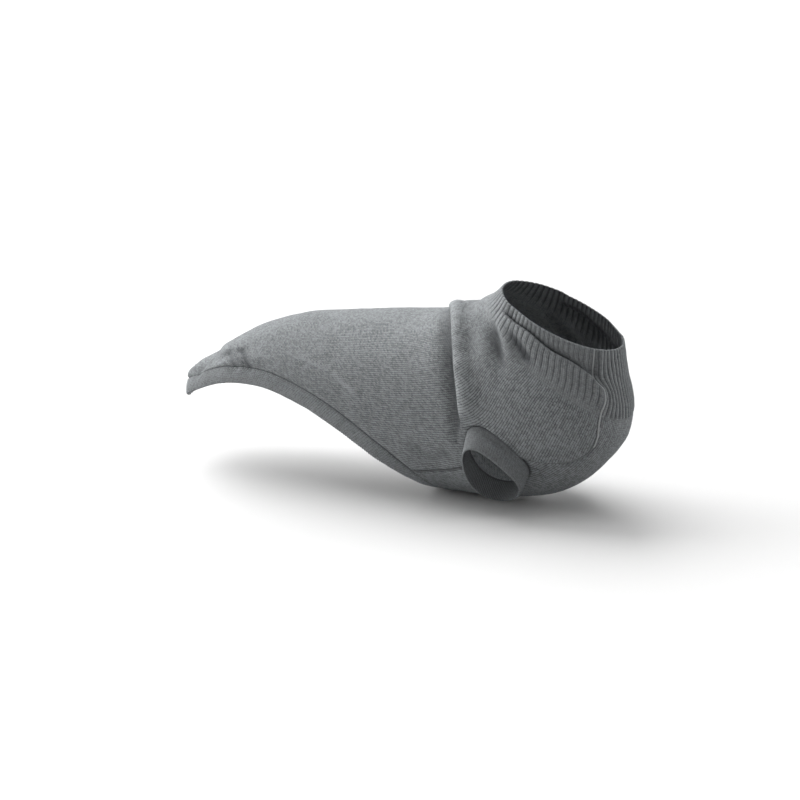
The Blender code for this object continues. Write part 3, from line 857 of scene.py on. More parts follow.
class ShaderTree:
    """A material's nodes, made by one method."""

    def __init__(self, name: str, **constants: float | Sequence[float]) -> None:
        """Makes a material.

        Args:
            name: its name.
            constants: its surface's values that are the same everywhere, with _ for a space in a socket's name.
        """
        self.material = bpy.data.materials.new(name)
        self.material.use_nodes = True
        self._tree = self.material.node_tree
        self.surface = self._tree.nodes["Principled BSDF"].inputs
        for socket, value in constants.items():
            self.surface[socket.replace("_", " ")].default_value = value

    def node(
        self,
        kind: str,
        settings: dict[str, object] | None = None,
        *inputs: "Value | bpy.types.NodeSocket | float | Sequence[float] | None",
        output: int = 0,
    ) -> bpy.types.NodeSocket:
        """Makes a node.

        Args:
            kind: the node's type.
            settings: its properties, set before its sockets.
            inputs: the values or links of its sockets in order, None to leave one as it is.
            output: which output to return.

        Returns:
            The output socket.
        """
        made = self._tree.nodes.new(kind)
        for name, value in (settings or {}).items():
            setattr(made, name, value)
        for socket, value in zip(made.inputs, inputs):
            self.feed(socket, value)
        return made.outputs[output]

    def feed(self, socket: bpy.types.NodeSocket, value: object) -> None:
        """Links or sets one socket.

        Args:
            socket: the socket.
            value: a value or an output to link, a constant to set, or None to leave it.
        """
        if isinstance(value, Value):
            value = value.socket
        if isinstance(value, bpy.types.NodeSocket):
            self._tree.links.new(value, socket)
        elif value is not None:
            socket.default_value = value

    def split(self, vector: bpy.types.NodeSocket) -> tuple[Value, Value]:
        """A vector's X and Y."""
        outputs = self.node("ShaderNodeSeparateXYZ", None, vector).node.outputs
        return Value(self, outputs[0]), Value(self, outputs[1])

    def stitch_map(self) -> tuple[Value, Value]:
        """U and V of the piece's stitch map."""
        return self.split(self.node("ShaderNodeUVMap", {"uv_map": "Stitches"}))

    def place(self) -> bpy.types.NodeSocket:
        """The place in the piece's own space."""
        return self.node("ShaderNodeTexCoord", output=3)

    def attribute(self, name: str) -> Value:
        """A number that the piece's points carry."""
        return Value(self, self.node("ShaderNodeAttribute", {"attribute_name": name}, output=2))

    def mottle(self, scale: float, detail: float = 2.0) -> Value:
        """Noise from 0 to 1 in the piece's own space."""
        return Value(self, self.node("ShaderNodeTexNoise", None, self.place(), None, scale, detail, NOISE_ROUGHNESS))

    def grain(self, x: Value, y: Value) -> Value:
        """A random number from 0 to 1 for each pair of whole numbers."""
        pair = self.node("ShaderNodeCombineXYZ", None, x, y, 0.0)
        return Value(self, self.node("ShaderNodeTexWhiteNoise", {"noise_dimensions": "2D"}, pair))

    def colour(self, share: Value, first: Sequence[float], second: Sequence[float]) -> None:
        """Gives the surface a colour between two, by a share from 0 to 1."""
        inputs = (share, *(None,) * 5, (*first, 1), (*second, 1))
        self.feed(self.surface["Base Color"], self.node("ShaderNodeMix", {"data_type": "RGBA"}, *inputs, output=2))


class Knit(Enum):
    """Which face of the knit shows."""

    PLAIN = "plain"
    WRONG_SIDE = "wrong side"
    RIB = "rib"


@dataclass(frozen=True)
class KnitFinish:
    """A heathered woollen yarn, knitted.

    bends are the noises that bend the loops: each one's scale, and its share of a wale and of a course. The rear is
    stretched round the rump, so that its courses show more than its wales; rear says where that starts and how it
    grows. slant is the rise of a loop's legs in courses, and bow is the same on the wrong side. fibres and patches
    are noises in the tone: scale, detail and weight.
    """

    name: str
    knit: Knit
    light: tuple[float, float, float]
    dark: tuple[float, float, float]
    relief: float = 0.0009
    heather: float = 0.45
    contrast: float = 1.0
    gap: float = 3.0
    course: float = 0.45
    # how much the points' painted shade darkens the tone towards the dark colour
    painted_shade_weight: float = 0.8
    bends: tuple[tuple[float, float, float], ...] = ((60.0, 0.22, 0.0), (170.0, 0.2, 0.5), (560.0, 0.42, 0.6))
    rear: tuple[float, float] = (0.07, -7)
    rear_wale: float = 0.6
    rear_course: float = 0.4
    slant: float = 0.6
    bow: float = 0.45
    fibres: tuple[float, float, float] = (900.0, 3.0, 0.7)
    patches: tuple[float, float, float] = (22.0, 3.0, 0.22)
    fibre_relief: float = 0.30

    def _loops(self, u: Value, v: Value, rear: Value) -> Value:
        """The height of the loops, from 0 between two wales to 1 on top of the yarn.

        Args:
            u: counts wales.
            v: counts courses.
            rear: 1 where the knit is stretched round the rump.

        Returns:
            The height.
        """
        across = ((u.fraction() - 0.5) * 2).magnitude()
        if self.knit is Knit.WRONG_SIDE:
            bow = (v + u.arch().magnitude() * self.bow).fraction()
            return bow.arch() ** 0.7 * (0.7 + 0.3 * across.arch())
        course = (v - across * self.slant).fraction().arch() ** 0.8
        wale = (1 - across**self.gap * (1 - self.rear_wale * rear)) * (0.75 + 0.25 * across.arch())
        return wale * (1 - (self.course + self.rear_course * rear) * (1 - course))

    def material(self) -> bpy.types.Material:
        """The finish as a material.

        Returns:
            The material.
        """
        tree = ShaderTree(self.name, Sheen_Weight=0.12, Sheen_Roughness=0.5, Sheen_Tint=(0.75, 0.8, 0.85, 1), **WOOL)
        u, v = tree.stitch_map()
        for scale, by_wale, by_course in self.bends:
            bend = tree.mottle(scale) - 0.5
            u, v = u + bend * by_wale, v + bend * by_course
        start, grows = self.rear
        loops = self._loops(u, v, ((tree.split(tree.place())[0] + start) * grows).clipped())
        fibres, patches = (tree.mottle(scale, detail) for scale, detail, _ in (self.fibres, self.patches))
        tone = self.contrast * (loops - 0.5) + self.heather * (tree.grain(u.floor(), v.floor()) - 0.5)
        tone = tone + self.fibres[2] * (fibres - 0.5) + self.patches[2] * (patches - 0.5) + 0.5
        # Painted shade: each point's painted shade darkens the tone, and a negative one paints a highlight.
        tree.colour((tone * (1 - self.painted_shade_weight * tree.attribute("PaintedShade"))).clipped(), self.dark, self.light)
        bump = tree.node("ShaderNodeBump", None, 1.0, self.relief, None, loops + self.fibre_relief * fibres)
        tree.feed(tree.surface["Normal"], bump)
        return tree.material


@dataclass(frozen=True)
class YarnFinish:
    """A single seam yarn, whose fibres part it into its colour and a darker one."""

    name: str
    colour: tuple[float, float, float]
    darker: float = 0.55
    fibres: tuple[float, float] = (1600.0, 3.0)

    def material(self) -> bpy.types.Material:
        """The finish as a material.

        Returns:
            The material.
        """
        tree = ShaderTree(self.name, **WOOL)
        tree.colour(tree.mottle(*self.fibres), [self.darker * part for part in self.colour], self.colour)
        return tree.material


# ---- Pieces of the sweater ----
@dataclass
class Body:
    """The two plain panels: the back with both sides, and the chest with the belly.

    behind, beside and ahead count rows by the leg holes, and closer draws the first of them together at the holes.
    The rows swerve off a hole along and beside it. hem_dark and side_dark say how far the shade painted along the
    seams reaches, side_creases how deep that painted shade is at the sides of the back and the chest, and lean is how
    many wales the back's knit leans.
    """

    drape: Drape
    stitches: StitchMap
    behind: int = 84
    beside: int = 56
    ahead: int = 56
    back_columns: int = 232
    chest_columns: int = 64
    closer: float = 0.45
    swerve: float = 0.0075
    swerve_along: float = 0.8
    swerve_beside: tuple[float, float] = (0.05, 0.45)
    hem_roll: tuple[float, float] = (0.0014, 0.0045)
    side_roll: tuple[float, float] = (0.0016, 0.0045)
    border: float = 0.0012
    hem_dark: float = 0.0023
    side_dark: float = 0.0020
    side_creases: tuple[float, float] = (0.3, 1.2)
    lean: float = 14.0

    def rows(self) -> tuple[Array, Array]:
        """Each row's place along the chest seam, and its turn round the leg hole.

        Returns:
            The places and the turns, in degrees.
        """
        start = seam_meets(HEM_LINE, HEM_LINE[-2, 1])
        hole_start, hole_end = HOLE_PLACE - HOLE_HALF, HOLE_PLACE + HOLE_HALF
        share = np.linspace(0, 1, self.behind + 1)
        back = start + (hole_start - start) * (share - self.closer * np.sin(2 * np.pi * share) / (2 * np.pi))
        t = np.linspace(0, 1, self.beside + 1)
        turns = 90 * t + 0.5 * np.degrees(np.arccos(1 - 2 * t))
        front = np.linspace(hole_end, RIB_PLACE, self.ahead + 1)
        place = np.concatenate((back[:-1], HOLE_PLACE - HOLE_HALF * np.cos(np.radians(turns)), front[1:]))
        return place, np.concatenate((np.zeros(self.behind), turns, np.full(self.ahead, 180.0)))

    def _clear_of_hole(self, places: Array, share: Array) -> Array:
        """How far the rows swerve along the body to keep off a leg hole.

        Args:
            places: the rows' places.
            share: each column's share of the way to the side border.

        Returns:
            How far each point's place moves.
        """
        along = (places - HOLE_PLACE) / HOLE_HALF
        nearby = bell(np.maximum(np.abs(along) - 1, 0), 0, self.swerve_along)
        off_seam, (near, far) = 1 - np.abs(share), self.swerve_beside
        beside = smooth_step(off_seam / near) * (1 - smooth_step(off_seam / far))
        return self.swerve * (np.clip(along, -1, 1) * nearby)[:, None] * beside

    def _grid(self, middle: float, at_hem: Array, at_rib: Array, edge: Array, places: Array) -> tuple[Array, Array]:
        """A panel's rows and columns.

        Args:
            middle: the angle of its middle column.
            at_hem: the columns' angles from there at the hem.
            at_rib: their angles from there at the collar.
            edge: the side border's angle from there in each row.
            places: each row's place on the chest seam.

        Returns:
            The angles and the places.
        """
        share = ((places - places[0]) / (places[-1] - places[0]))[:, None]
        spread = (1 - share) * at_hem + share * at_rib
        spread /= spread[:, -1:]
        angle = middle + spread * edge[:, None]
        start, shoulder = place_on(HEM_LINE, middle + at_hem), place_on(SHOULDER_LINE, angle[self.behind])
        hole_start = places[self.behind]
        behind = ((places - places[0]) / (hole_start - places[0]))[: self.behind, None]
        ahead = ((places - hole_start) / (places[-1] - hole_start))[self.behind :, None]
        place = np.concatenate((start + (shoulder - start) * behind, shoulder + (RIB_PLACE - shoulder) * ahead))
        return angle, place + self._clear_of_hole(places, spread)

    def _panel(self, name: str, side_crease: float, lean: float, angle: Array, place: Array) -> ClothGrid:
        """One panel's cloth.

        Args:
            name: its name.
            side_crease: how deep in a crease its side borders are.
            lean: how many wales its knit leans.
            angle: its points' angles.
            place: their places.

        Returns:
            The cloth.
        """
        points, normals, crease = self.drape.laid(angle, place, swollen=True)
        at_hem, _, at_side = from_borders(points)
        drop = np.minimum(rolled(at_hem, *self.hem_roll), rolled(at_side, *self.side_roll))
        # Painted shade along the hem seam and the side borders.
        for at, dark, deep in ((at_hem, self.hem_dark, 1), (at_side, self.side_dark, side_crease)):
            crease = crease + (deep - crease) * np.exp(-at / dark)
        uv, edge = self.stitches.at(angle, place, lean), np.minimum(at_hem, at_side)
        return ClothGrid(name, points, normals, drop, uv, edge, crease, border=self.border)

    def back(self) -> ClothGrid:
        """The back with both sides.

        Returns:
            The cloth.
        """
        places, turns = self.rows()
        seam = seam_angle(places)
        ends = ((HEM_LINE, seam[0]), (COLLAR_LINE, seam[-1]))
        at_hem, at_rib = (both_sides(equal_steps(line, float(limit), self.back_columns // 2)) for line, limit in ends)
        edge = seam - HOLE_OUTER * np.sin(np.radians(turns))
        grid = self._grid(0.0, at_hem, at_rib, edge, places)
        return self._panel("back_knit", self.side_creases[0], self.lean, *grid)

    def chest(self) -> ClothGrid:
        """The chest with the belly.

        Returns:
            The cloth.
        """
        places, turns = self.rows()
        seam = 180 - seam_angle(places)
        spread = np.linspace(-1, 1, self.chest_columns + 1)
        edge = seam - HOLE_INNER * np.sin(np.radians(turns))
        grid = self._grid(180.0, spread * seam[0], spread * seam[-1], edge, places)
        return self._panel("chest_knit", self.side_creases[1], 0.0, *grid)


@dataclass
class Collar:
    """The ribbed collar's two sections, with a row on each side of the tuck.

    ribs, sharp and follow are pairs, for the back and for the chest: the count of ribs, how flat their faces are,
    and how few of them bend with the chest seam. The ribs set in over rib_start, or shorter from front_angle on.
    The tuck pulls them into relief over pull_reach, and so does the chest from pull_angle on, over pull_turn.
    """

    drape: Drape
    ribs: tuple[int, int] = (58, 14)
    sharp: tuple[float, float] = (4.0, 2.2)
    follow: tuple[float, float] = (4.0, 1.3)
    per_rib: int = 10
    wales_per_rib: int = 3
    below: int = 26
    across: int = 12
    above: int = 20
    rim_closer: float = 1.25
    tuck_half: float = 0.0075
    rib: float = 0.0020
    rib_pulled: float = 0.0004
    rib_start: float = 0.024
    front_start: float = 0.004
    front_angle: float = 144
    pull_reach: float = 0.012
    pull_angle: float = 138
    pull_turn: float = 12
    # The next three set the painted shade between the ribs and along the back section's sides, and the painted
    # highlight along the chest section's sides.
    rib_dark: float = 1.3
    side_dark: tuple[float, float] = (0.0015, 0.0030)
    chest_edge_highlight: tuple[float, float] = (0.35, 0.0025)
    side_roll: tuple[float, float] = (0.0016, 0.0040)
    rim_roll: tuple[float, float] = (0.0008, 0.002)

    def _columns(self, chest: bool, at_rib: Array, edge: Array | float) -> Array:
        """The columns' angles; most ribs keep straight.

        Args:
            chest: whether the section is the chest's.
            at_rib: the columns' angles from the section's middle, where the ribs start.
            edge: the chest seam's angle.

        Returns:
            The angles.
        """
        share = at_rib / at_rib[-1]
        bent = (180 - edge if chest else edge) - at_rib[-1]
        return 180.0 * chest + at_rib + np.sign(share) * bent * np.abs(share) ** self.follow[chest]

    def _section(self, name: str, chest: bool, at_rib: Array) -> ClothGrid:
        """One section's cloth.

        Args:
            name: its name.
            chest: whether it is the chest's.
            at_rib: the columns' angles from its middle, where the ribs start.

        Returns:
            The cloth.
        """
        seam_place = seam_meets(TUCK_LINE, RIB_PLACE)
        step = place_on(TUCK_LINE, self._columns(chest, at_rib, float(seam_angle(seam_place))))
        low, high = step - self.tuck_half, step + self.tuck_half
        place = np.concatenate((
            RIB_PLACE + (low - RIB_PLACE) * np.linspace(0, 1, self.below + 1)[:-1, None],
            low + (high - low) * np.linspace(0, 1, self.across + 1)[:-1, None],
            RIM_PLACE - (RIM_PLACE - high) * np.linspace(1, 0, self.above + 1)[:, None] ** self.rim_closer,
        ))
        angle = self._columns(chest, at_rib, seam_angle(place[:, -1])[:, None])
        points, normals, crease = self.drape.laid(angle, place)
        at_start, at_rim, at_side = from_borders(points)
        side = on_right(angle)
        shown = smooth_step(at_start / np.where(side > self.front_angle, self.front_start, self.rib_start))
        pulled = np.maximum(
            smooth_step((place - place_on(TUCK_LINE, angle)) / self.pull_reach + 0.5),
            smooth_step((side - self.pull_angle) / self.pull_turn),
        )
        rib = np.arange(len(at_rib)) / self.per_rib
        profile = 1 - np.abs(2 * np.mod(rib, 1) - 1) ** self.sharp[chest]
        ribs = (self.rib + self.rib_pulled * pulled) * (profile - 0.5) * shown
        # Painted shade between the ribs.
        crease = np.maximum(crease, np.minimum(self.rib_dark * (1 - profile), 1) * shown)
        # The chest section gets a painted highlight along its sides, the back section painted shade, wider where the
        # tuck pulls.
        if chest:
            painted_highlight, reach = self.chest_edge_highlight
            crease = crease - painted_highlight * np.exp(-at_side / reach)
        else:
            reach, pulled_reach = self.side_dark
            crease = np.maximum(crease, np.exp(-at_side / (reach + pulled_reach * pulled)))
        drop = ribs + rolled(at_side, *self.side_roll) + rolled(at_rim, *self.rim_roll)
        uv = np.stack(np.broadcast_arrays(rib * self.wales_per_rib, at_start / COURSE), -1)
        return ClothGrid(name, points, normals, drop, uv, np.minimum(at_rim, at_side), crease)

    def back(self) -> ClothGrid:
        """The section over the back and sides."""
        half = equal_steps(COLLAR_LINE, float(seam_angle(RIB_PLACE)), self.ribs[0] * self.per_rib // 2)
        return self._section("collar_back_rib", False, both_sides(half))

    def chest(self) -> ClothGrid:
        """The section over the chest."""
        spread = np.linspace(-1, 1, self.ribs[1] * self.per_rib + 1)
        return self._section("collar_chest_rib", True, spread * (180 - float(seam_angle(RIB_PLACE))))


@dataclass
class Band:
    """A closed band of fine ribs, from its seam to its free edge, which both roll inwards."""

    ribs: int
    rib: float
    seam_roll: tuple[float, float]
    per_rib: int = 6
    rib_inside: float = 0.4
    free_roll: tuple[float, float] = (0.0010, 0.0022)

    def drop(self, profile: Array, at_seam: Array, at_free: Array) -> Array:
        """How far the cloth stands out, by its ribs' heights and its distances from the seam and the free edge."""
        ribs = self.rib * (profile - self.rib_inside)
        return ribs + rolled(at_seam, *self.seam_roll) + rolled(at_free, *self.free_roll)

    def count(self, columns: int) -> Array:
        """The number of ribs up to each column."""
        return np.arange(columns) / self.per_rib

    def stitches(self, rib: Array, length: Array) -> Array:
        """The stitch map of ribs counted in each column, and lengths from the seam."""
        return np.stack(np.broadcast_arrays(rib * RIB_WALES, length / RIB_COURSE), -1)


HEM_ROWS = (0.0, 0.02, 0.06, 0.12, 0.22, 0.34, 0.46, 0.58, 0.70, 0.82, 0.90, 0.95, 0.98, 1.0)
CUFF_ROWS = (0.0, 0.03, 0.07, 0.13, 0.2, 0.28, 0.36, 0.45, 0.55, 0.65, 0.75, 0.84, 0.91, 0.96, 0.985, 1.0)


@dataclass
class HemBand:
    """The ribbed band round the open rear end.

    Its free edge is turned forwards by skew, and it swells in the middle. Away from the seam, the tops of its ribs
    get a painted highlight, whose strength and the distance over which it sets in are given by the last field; the
    seam and the gaps between the ribs get full painted shade.
    the tops of its ribs are, and over what distance that sets in.
    """

    drape: Drape
    band: Band = field(default_factory=lambda: Band(320, 0.0012, (0.0012, 0.003)))
    skew: float = 0.021
    swell: float = 0.0006
    painted_highlight: tuple[float, float] = (1.7, 0.0016)

    def grid(self) -> ClothGrid:
        """The band's cloth.

        Returns:
            The cloth.
        """
        half = self.band.ribs * self.band.per_rib // 2
        right = equal_steps(HEM_LINE, 180.0, half)
        along = np.linspace(0, 1, half + 1)
        angle = round_ring(right)
        pulled = round_ring(np.interp(along - self.skew * np.sin(np.pi * along) ** 2, along, right))
        place = place_on(HEM_LINE, angle)
        free_angle, free_place = self._stepped(pulled, place_on(HEM_LINE, pulled), HEM_WIDTH)
        share = np.array(HEM_ROWS)[:, None]
        angles, places = angle + (free_angle - angle) * share, place + (free_place - place) * share
        points, normals, _ = self.drape.laid(angles, places)
        points = points - normals * (place_on(HEM_GRIP, angle) * share)[..., None]
        at_seam, at_free, _ = from_borders(points)
        rib = self.band.count(len(angle))
        profile = np.sin(np.pi * rib) ** 2
        drop = self.band.drop(profile, at_seam, at_free) + self.swell * np.sin(np.pi * share)
        much, reach = self.painted_highlight
        # Full painted shade at the seam and between the ribs, and a painted highlight on the rib tops away from the
        # seam.
        crease = 1.0 - much * profile * (1 - np.exp(-at_seam / reach))
        uv = self.band.stitches(rib, share * HEM_WIDTH)
        return ClothGrid("hem_band_rib", points, normals, drop, uv, np.minimum(at_seam, at_free), crease, True)

    @staticmethod
    def _stepped(angle: Array, place: Array, distance: float) -> tuple[Array, Array]:
        """Where one comes by walking off a loop over the form, square to it and to the rear.

        Args:
            angle: the loop's angles.
            place: its places.
            distance: how far to walk.

        Returns:
            The angles and the places.
        """
        by_angle, by_place = slopes_at(angle, place)
        points = ring_point(angle, place)
        along = np.empty_like(points)
        along[1:-1] = points[2:] - points[:-2]
        along[0] = along[-1] = points[1] - points[-2]
        rearward = unit(np.cross(unit(along), outward(angle, place))) * distance
        aa, ap, pp = (np.sum(p * q, axis=-1) for p, q in ((by_angle,) * 2, (by_angle, by_place), (by_place,) * 2))
        ra, rp = np.sum(by_angle * rearward, axis=-1), np.sum(by_place * rearward, axis=-1)
        scale = aa * pp - ap * ap
        return angle + (ra * pp - rp * ap) / scale, place + (rp * aa - ra * ap) / scale


@dataclass
class LegCuff:
    """A ribbed leg cuff: the right one (side 1) or the left one (side -1).

    dark is how deep the shade painted between two ribs is, seam_dark how far the painted shade at the seam reaches. A
    soft crease with a swell runs beside the seam over the front, where front is its middle and width in degrees round
    the hole; fold and swell are the height, the distance from the seam and the width of each.
    """

    name: str
    side: int
    band: Band = field(default_factory=lambda: Band(100, 0.0007, (0.0014, 0.004)))
    soft: float = 0.8
    dark: float = 0.9
    seam_dark: float = 0.0035
    front: tuple[float, float] = (135, 38)
    fold: tuple[float, float, float] = (-0.0024, 0.0085, 0.0024)
    swell: tuple[float, float, float] = (0.0016, 0.0150, 0.0055)

    def _point(self, turn: Array, share: Array) -> Array:
        """A point of the right cuff's inside.

        Args:
            turn: degrees round the hole.
            share: the share of the way from the seam to the open end.

        Returns:
            The point.
        """
        seam = ring_point(*hole_edge(turn))
        middle = ring_point(seam_angle(HOLE_PLACE), np.array(HOLE_PLACE))
        open_end = middle + CUFF_TAPER * (seam - middle) + CUFF_RUN
        share = share[..., None]
        return (1 - share) * seam + share * open_end

    def grid(self) -> ClothGrid:
        """The cuff's cloth.

        Returns:
            The cloth.
        """
        columns = self.band.ribs * self.band.per_rib + 1
        turn, share = np.meshgrid(np.linspace(0, 360, columns), np.array(CUFF_ROWS))
        points = self._point(turn, share)
        around = self._point(turn + 1, share) - self._point(turn - 1, share)
        run = self._point(turn, np.ones_like(share)) - self._point(turn, np.zeros_like(share))
        normals = unit(np.cross(run, around))
        at_seam, at_free, _ = from_borders(points)
        rib = self.band.count(columns)
        profile = np.abs(np.sin(np.pi * rib)) ** self.soft
        # Painted shade between the ribs and along the seam.
        crease = np.maximum(self.dark * (1 - profile), np.exp(-at_seam / self.seam_dark))
        beside = sum(high * bell(at_seam, middle, width) for high, middle, width in (self.fold, self.swell))
        drop = self.band.drop(profile, at_seam, at_free) + bell(turn, *self.front) * beside
        uv, edge = self.band.stitches(rib, at_seam), np.minimum(at_seam, at_free)
        return ClothGrid(self.name, points, normals, drop, uv, edge, crease, True, self.side)


@dataclass
class SeamYarns:
    """The yarns that link the pieces, one along each seam, lying in the groove between two rolled borders.

    A yarn is a curve with small loops: stitch is a loop's length, sway and bob how far it swings to the side and
    up. It lies at lift of the cloth's thickness less sink, and one that is thicker rises with its thickness.
    """

    drape: Drape
    radius: float = 0.0009
    lift: float = 0.55
    sink: float = 0.0003
    rise: float = 4
    stitch: float = 0.0024
    per_stitch: int = 4
    sway: float = 0.0005
    bob: float = 0.0002
    shown: float = 0.0003
    rim_gap: float = 0.002

    def _over(
        self, name: str, angle: Array, place: Array, closed: bool = False, thicker: float = 0.0
    ) -> bpy.types.Object:
        """One yarn along a line over the cloth.

        Args:
            name: its name.
            angle: the line's angles.
            place: its places.
            closed: whether its ends meet.
            thicker: how much thicker than the others it is.

        Returns:
            The yarn, as a mesh.
        """
        centre, normals, _ = self.drape.laid(angle[None], place[None], name.startswith("belly"))
        length = travelled(centre[0])
        count = int(length[-1] / (self.stitch / self.per_stitch))
        count -= count % self.per_stitch
        at = np.linspace(0, length[-1], count + 1)[: count + (not closed)]
        along, up = (
            np.stack([np.interp(at, length, table[0, :, k]) for k in range(3)], -1) for table in (centre, normals)
        )
        up, run = unit(up), unit(np.roll(along, -1, axis=0) - np.roll(along, 1, axis=0))
        phase = np.arange(len(at)) * (2 * math.pi / self.per_stitch)
        height = CLOTH * self.lift - self.sink + self.rise * thicker + self.bob * np.cos(2 * phase)
        points = along + up * height[:, None] + np.cross(up, run) * (self.sway * np.sin(phase))[:, None]
        curve = bpy.data.curves.new(name, "CURVE")
        curve.dimensions, curve.bevel_depth, curve.bevel_resolution = "3D", self.radius + thicker, 1
        curve.use_fill_caps = not closed
        spline = curve.splines.new("POLY")
        spline.use_cyclic_u = closed
        spline.points.add(len(points) - 1)
        spline.points.foreach_set("co", np.column_stack((points, np.ones(len(points)))).ravel())
        source = add_object(name, curve)
        bpy.context.view_layer.update()
        mesh = bpy.data.meshes.new_from_object(source.evaluated_get(bpy.context.evaluated_depsgraph_get()))
        bpy.data.objects.remove(source)
        bpy.data.curves.remove(curve)
        mesh.name = name
        mesh.shade_smooth()
        return add_object(name, mesh)

    def build(self) -> list[bpy.types.Object]:
        """All the seam yarns.

        Returns:
            The yarns.
        """
        round_body = np.linspace(0, 360, LINE_SAMPLES)
        yarns = [self._over("hem_seam_yarn", round_body, place_on(HEM_LINE, round_body), True)]
        along_seam = (
            ("belly", seam_meets(HEM_LINE, HEM_LINE[-2, 1]), HOLE_PLACE - HOLE_HALF, 80, 0.0),
            ("breast", HOLE_PLACE + HOLE_HALF, BREAST_PLACE, 60, 0.0),
            ("chest", BREAST_PLACE, RIM_PLACE - self.rim_gap, 200, self.shown),
        )
        hole_angle, hole_place = hole_edge(np.linspace(0, 360, 361))
        for label, side in (("right", 1), ("left", -1)):
            for part, first, last, count, thicker in along_seam:
                place = np.linspace(first, last, count)
                name = f"{part}_seam_yarn_{label}"
                yarns.append(self._over(name, side * seam_angle(place), place, thicker=thicker))
            yarns.append(self._over(f"cuff_seam_yarn_{label}", side * hole_angle, hole_place, True))
        return yarns


# ---- Studio ----
@dataclass(frozen=True)
class SoftLight:
    """A wide far light that comes from one side of the room.

    towards points from the sweater to the light, and spread is the angle that the light fills.
    """

    name: str
    towards: tuple[float, float, float]
    spread: float
    strength: float

    def build(self) -> None:
        """Adds the light."""
        data = bpy.data.lights.new(self.name, "SUN")
        data.angle, data.energy = math.radians(self.spread), self.strength
        add_object(self.name, data).rotation_euler = Vector(self.towards).to_track_quat("Z", "Y").to_euler()


@dataclass(frozen=True)
class Studio:
    """A pale floor, a white dome behind it, soft lights and the camera."""

    ground: float
    target: tuple[float, float, float] = (-0.1090, 0.0, -0.1241)
    azimuth: float = 30.0
    elevation: float = 13.0
    distance: float = 3.0
    lens: float = 92.475
    sensor: float = 36.0
    shift: tuple[float, float] = (15 / 800, -17 / 800)
    sky: float = 0.30
    floor_size: float = 24.0
    floor_grey: float = 0.52
    lights: tuple[SoftLight, ...] = (
        SoftLight("behind_left", (-0.8, 0.35, 0.7), 60.0, 4.6),
        SoftLight("left", (-1.0, -0.3, 0.18), 60.0, 4.5),
        SoftLight("overhead", (0.0, 0.0, 1.0), 70.0, 1.3),
        SoftLight("right_behind", (0.5, 0.85, 0.2), 50.0, 1.8),
    )

    def build(self) -> None:
        """Adds the floor, the dome, the lights and the camera."""
        self._floor()
        self._backdrop()
        for light in self.lights:
            light.build()
        world = bpy.data.worlds.new("studio")
        world.use_nodes = True
        background = world.node_tree.nodes["Background"].inputs
        background["Color"].default_value, background["Strength"].default_value = (1, 1, 1, 1), self.sky
        bpy.context.scene.world = world
        bpy.context.scene.view_settings.view_transform = "Standard"
        self._camera()

    def _floor(self) -> None:
        """Adds the floor."""
        bm = bmesh.new()
        bmesh.ops.create_circle(bm, cap_ends=True, segments=96, radius=self.floor_size)
        bmesh.ops.translate(bm, vec=(0, 0, self.ground), verts=bm.verts)
        finish = ShaderTree("pale_floor", Base_Color=(*(self.floor_grey,) * 3, 1), Roughness=0.6)
        add_mesh("floor", bm, finish.material)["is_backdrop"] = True

    def _backdrop(self) -> None:
        """Adds a white dome behind the floor, which the camera sees and the light passes."""
        bm = bmesh.new()
        bmesh.ops.create_uvsphere(bm, u_segments=48, v_segments=24, radius=self.floor_size + 1)
        white = {"Emission_Color": (1, 1, 1, 1), "Emission_Strength": 1.0}
        dome = add_mesh("backdrop", bm, ShaderTree("white_backdrop", Base_Color=(0, 0, 0, 1), **white).material)
        dome.visible_diffuse = dome.visible_glossy = dome.visible_transmission = dome.visible_shadow = False
        dome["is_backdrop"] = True

    def _camera(self) -> None:
        """Adds the camera."""
        turn, tilt = math.radians(self.azimuth), math.radians(self.elevation)
        back = Vector((math.sin(turn) * math.cos(tilt), -math.cos(turn) * math.cos(tilt), math.sin(tilt)))
        data = bpy.data.cameras.new("camera")
        data.lens, data.sensor_width = self.lens, self.sensor
        data.shift_x, data.shift_y = self.shift
        camera = add_object("camera", data)
        camera.location = Vector(self.target) + back * self.distance
        camera.rotation_euler = back.to_track_quat("Z", "Y").to_euler()
        bpy.context.scene.camera = camera


# ---- The whole ----
GROUND_GAP = 0.0005
WOOL = {"Roughness": 0.92, "Specular_IOR_Level": 0.25}
PLAIN = KnitFinish("plain_knit", Knit.PLAIN, (0.242, 0.256, 0.261), (0.045, 0.047, 0.050))
WRONG_SIDE = replace(PLAIN, name="wrong_side", knit=Knit.WRONG_SIDE)
RIBBED = KnitFinish(
    "ribbed_knit", Knit.RIB, (0.248, 0.261, 0.266), (0.038, 0.040, 0.043), 0.0007, 0.25, 0.55, 6.0, painted_shade_weight=0.9
)
# The band's seam and rib gaps carry full painted shade and its rib tops a painted highlight; its light colour is
# raised far above the other knits' to make up for that painted shade.
BAND = replace(RIBBED, name="band_knit", light=(0.760, 0.790, 0.803), heather=0.2, contrast=0.45, painted_shade_weight=1.0)
# The hem and cuff seam yarns are coloured near black: painted shade for the groove between the rolled borders they
# lie in.
SHADED_SEAM_YARN = YarnFinish("linking_yarn", (0.080, 0.083, 0.086))
SEAM_YARNS = {
    # The chest seam's yarn is far lighter than the knit: a painted highlight along the raised seam.
    "chest": YarnFinish("chest_seam_yarn", (0.420, 0.436, 0.441)),
    "breast": YarnFinish("breast_seam_yarn", (0.240, 0.250, 0.254)),
    "belly": YarnFinish("belly_seam_yarn", (0.170, 0.177, 0.180)),
}


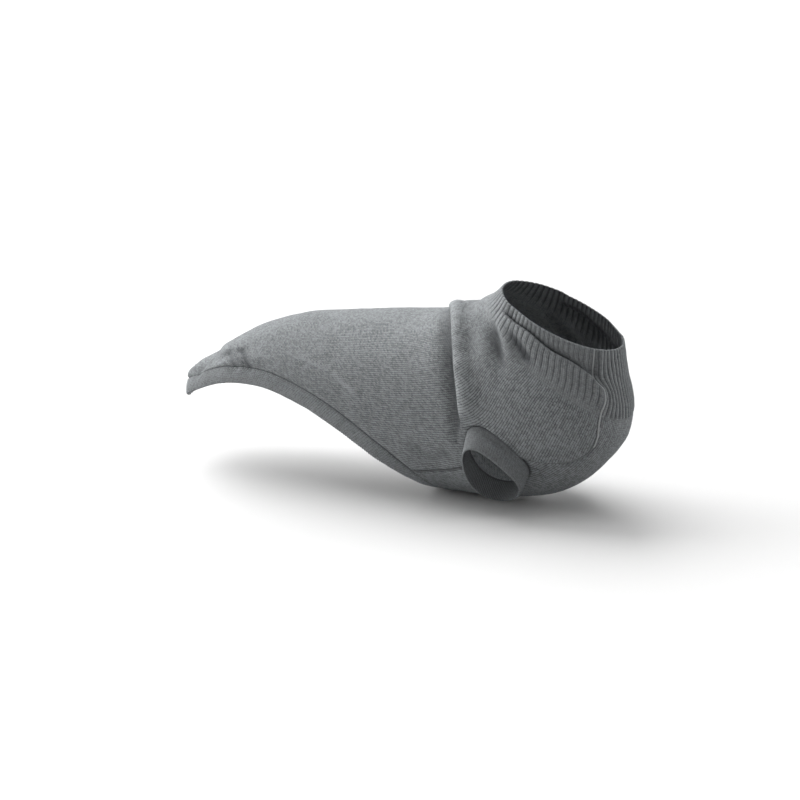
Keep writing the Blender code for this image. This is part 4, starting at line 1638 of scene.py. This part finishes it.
@dataclass
class Sweater:
    """Builds every piece over its solid and dresses it."""

    drape: Drape = field(default_factory=Drape)
    stitches: StitchMap = field(default_factory=StitchMap)

    def build(self) -> None:
        """Builds the sweater."""
        plain, wrong, rib, band = (finish.material() for finish in (PLAIN, WRONG_SIDE, RIBBED, BAND))
        body, collar, hem = Body(self.drape, self.stitches), Collar(self.drape), HemBand(self.drape)
        pieces = (
            (body.back(), plain, wrong, "back_panel", "back_knit", (1.00, 0.52), 0.2300),
            (body.chest(), plain, wrong, "chest_panel", "chest_knit", (0.26, 0.40), 0.0540),
            (collar.back(), rib, rib, "collar_back", "collar_rib", (0.60, 0.10), 0.0335),
            (collar.chest(), rib, rib, "collar_chest", "collar_rib", (0.15, 0.10), 0.0128),
            (hem.grid(), band, rib, "hem_band", "hem_rib", (1.25, 0.027), 0.0310),
            (LegCuff("cuff_right_rib", 1).grid(), rib, rib, "cuff_right", "cuff_rib", (0.32, 0.036), 0.0095),
            (LegCuff("cuff_left_rib", -1).grid(), rib, rib, "cuff_left", "cuff_rib", (0.32, 0.036), 0.0095),
        )
        for grid, outer, inner, node, slot, flat, area in pieces:
            piece = grid.build(outer, inner)
            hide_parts(node)
            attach(piece, "root")
            LOG.info("%s: %.4f m2 of cloth, %d points", piece.name, grid.area(), len(piece.data.vertices))
        finishes = {part: yarn.material() for part, yarn in SEAM_YARNS.items()}
        # The hem and cuff seam yarns take the near-black yarn, painted shade for their groove.
        shaded_yarn = SHADED_SEAM_YARN.material()
        for piece in SeamYarns(self.drape).build():
            piece.data.materials.append(finishes.get(piece.name.split("_")[0], shaded_yarn))
            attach(piece, "root")
            LOG.info("%s: %d faces", piece.name, len(piece.data.polygons))


def as_lists(box: Sequence[Vector]) -> list[list[float]]:
    """A box's two corners as plain lists."""
    return [[float(value) for value in corner] for corner in box]


def main() -> None:
    """Builds the sweater and its studio."""
    logging.basicConfig(level=logging.INFO, format="%(message)s")
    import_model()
    solids = as_lists(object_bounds())
    Sweater().build()
    Studio(ground=solids[0][2] - GROUND_GAP).build()


if __name__ == "__main__":
    main()
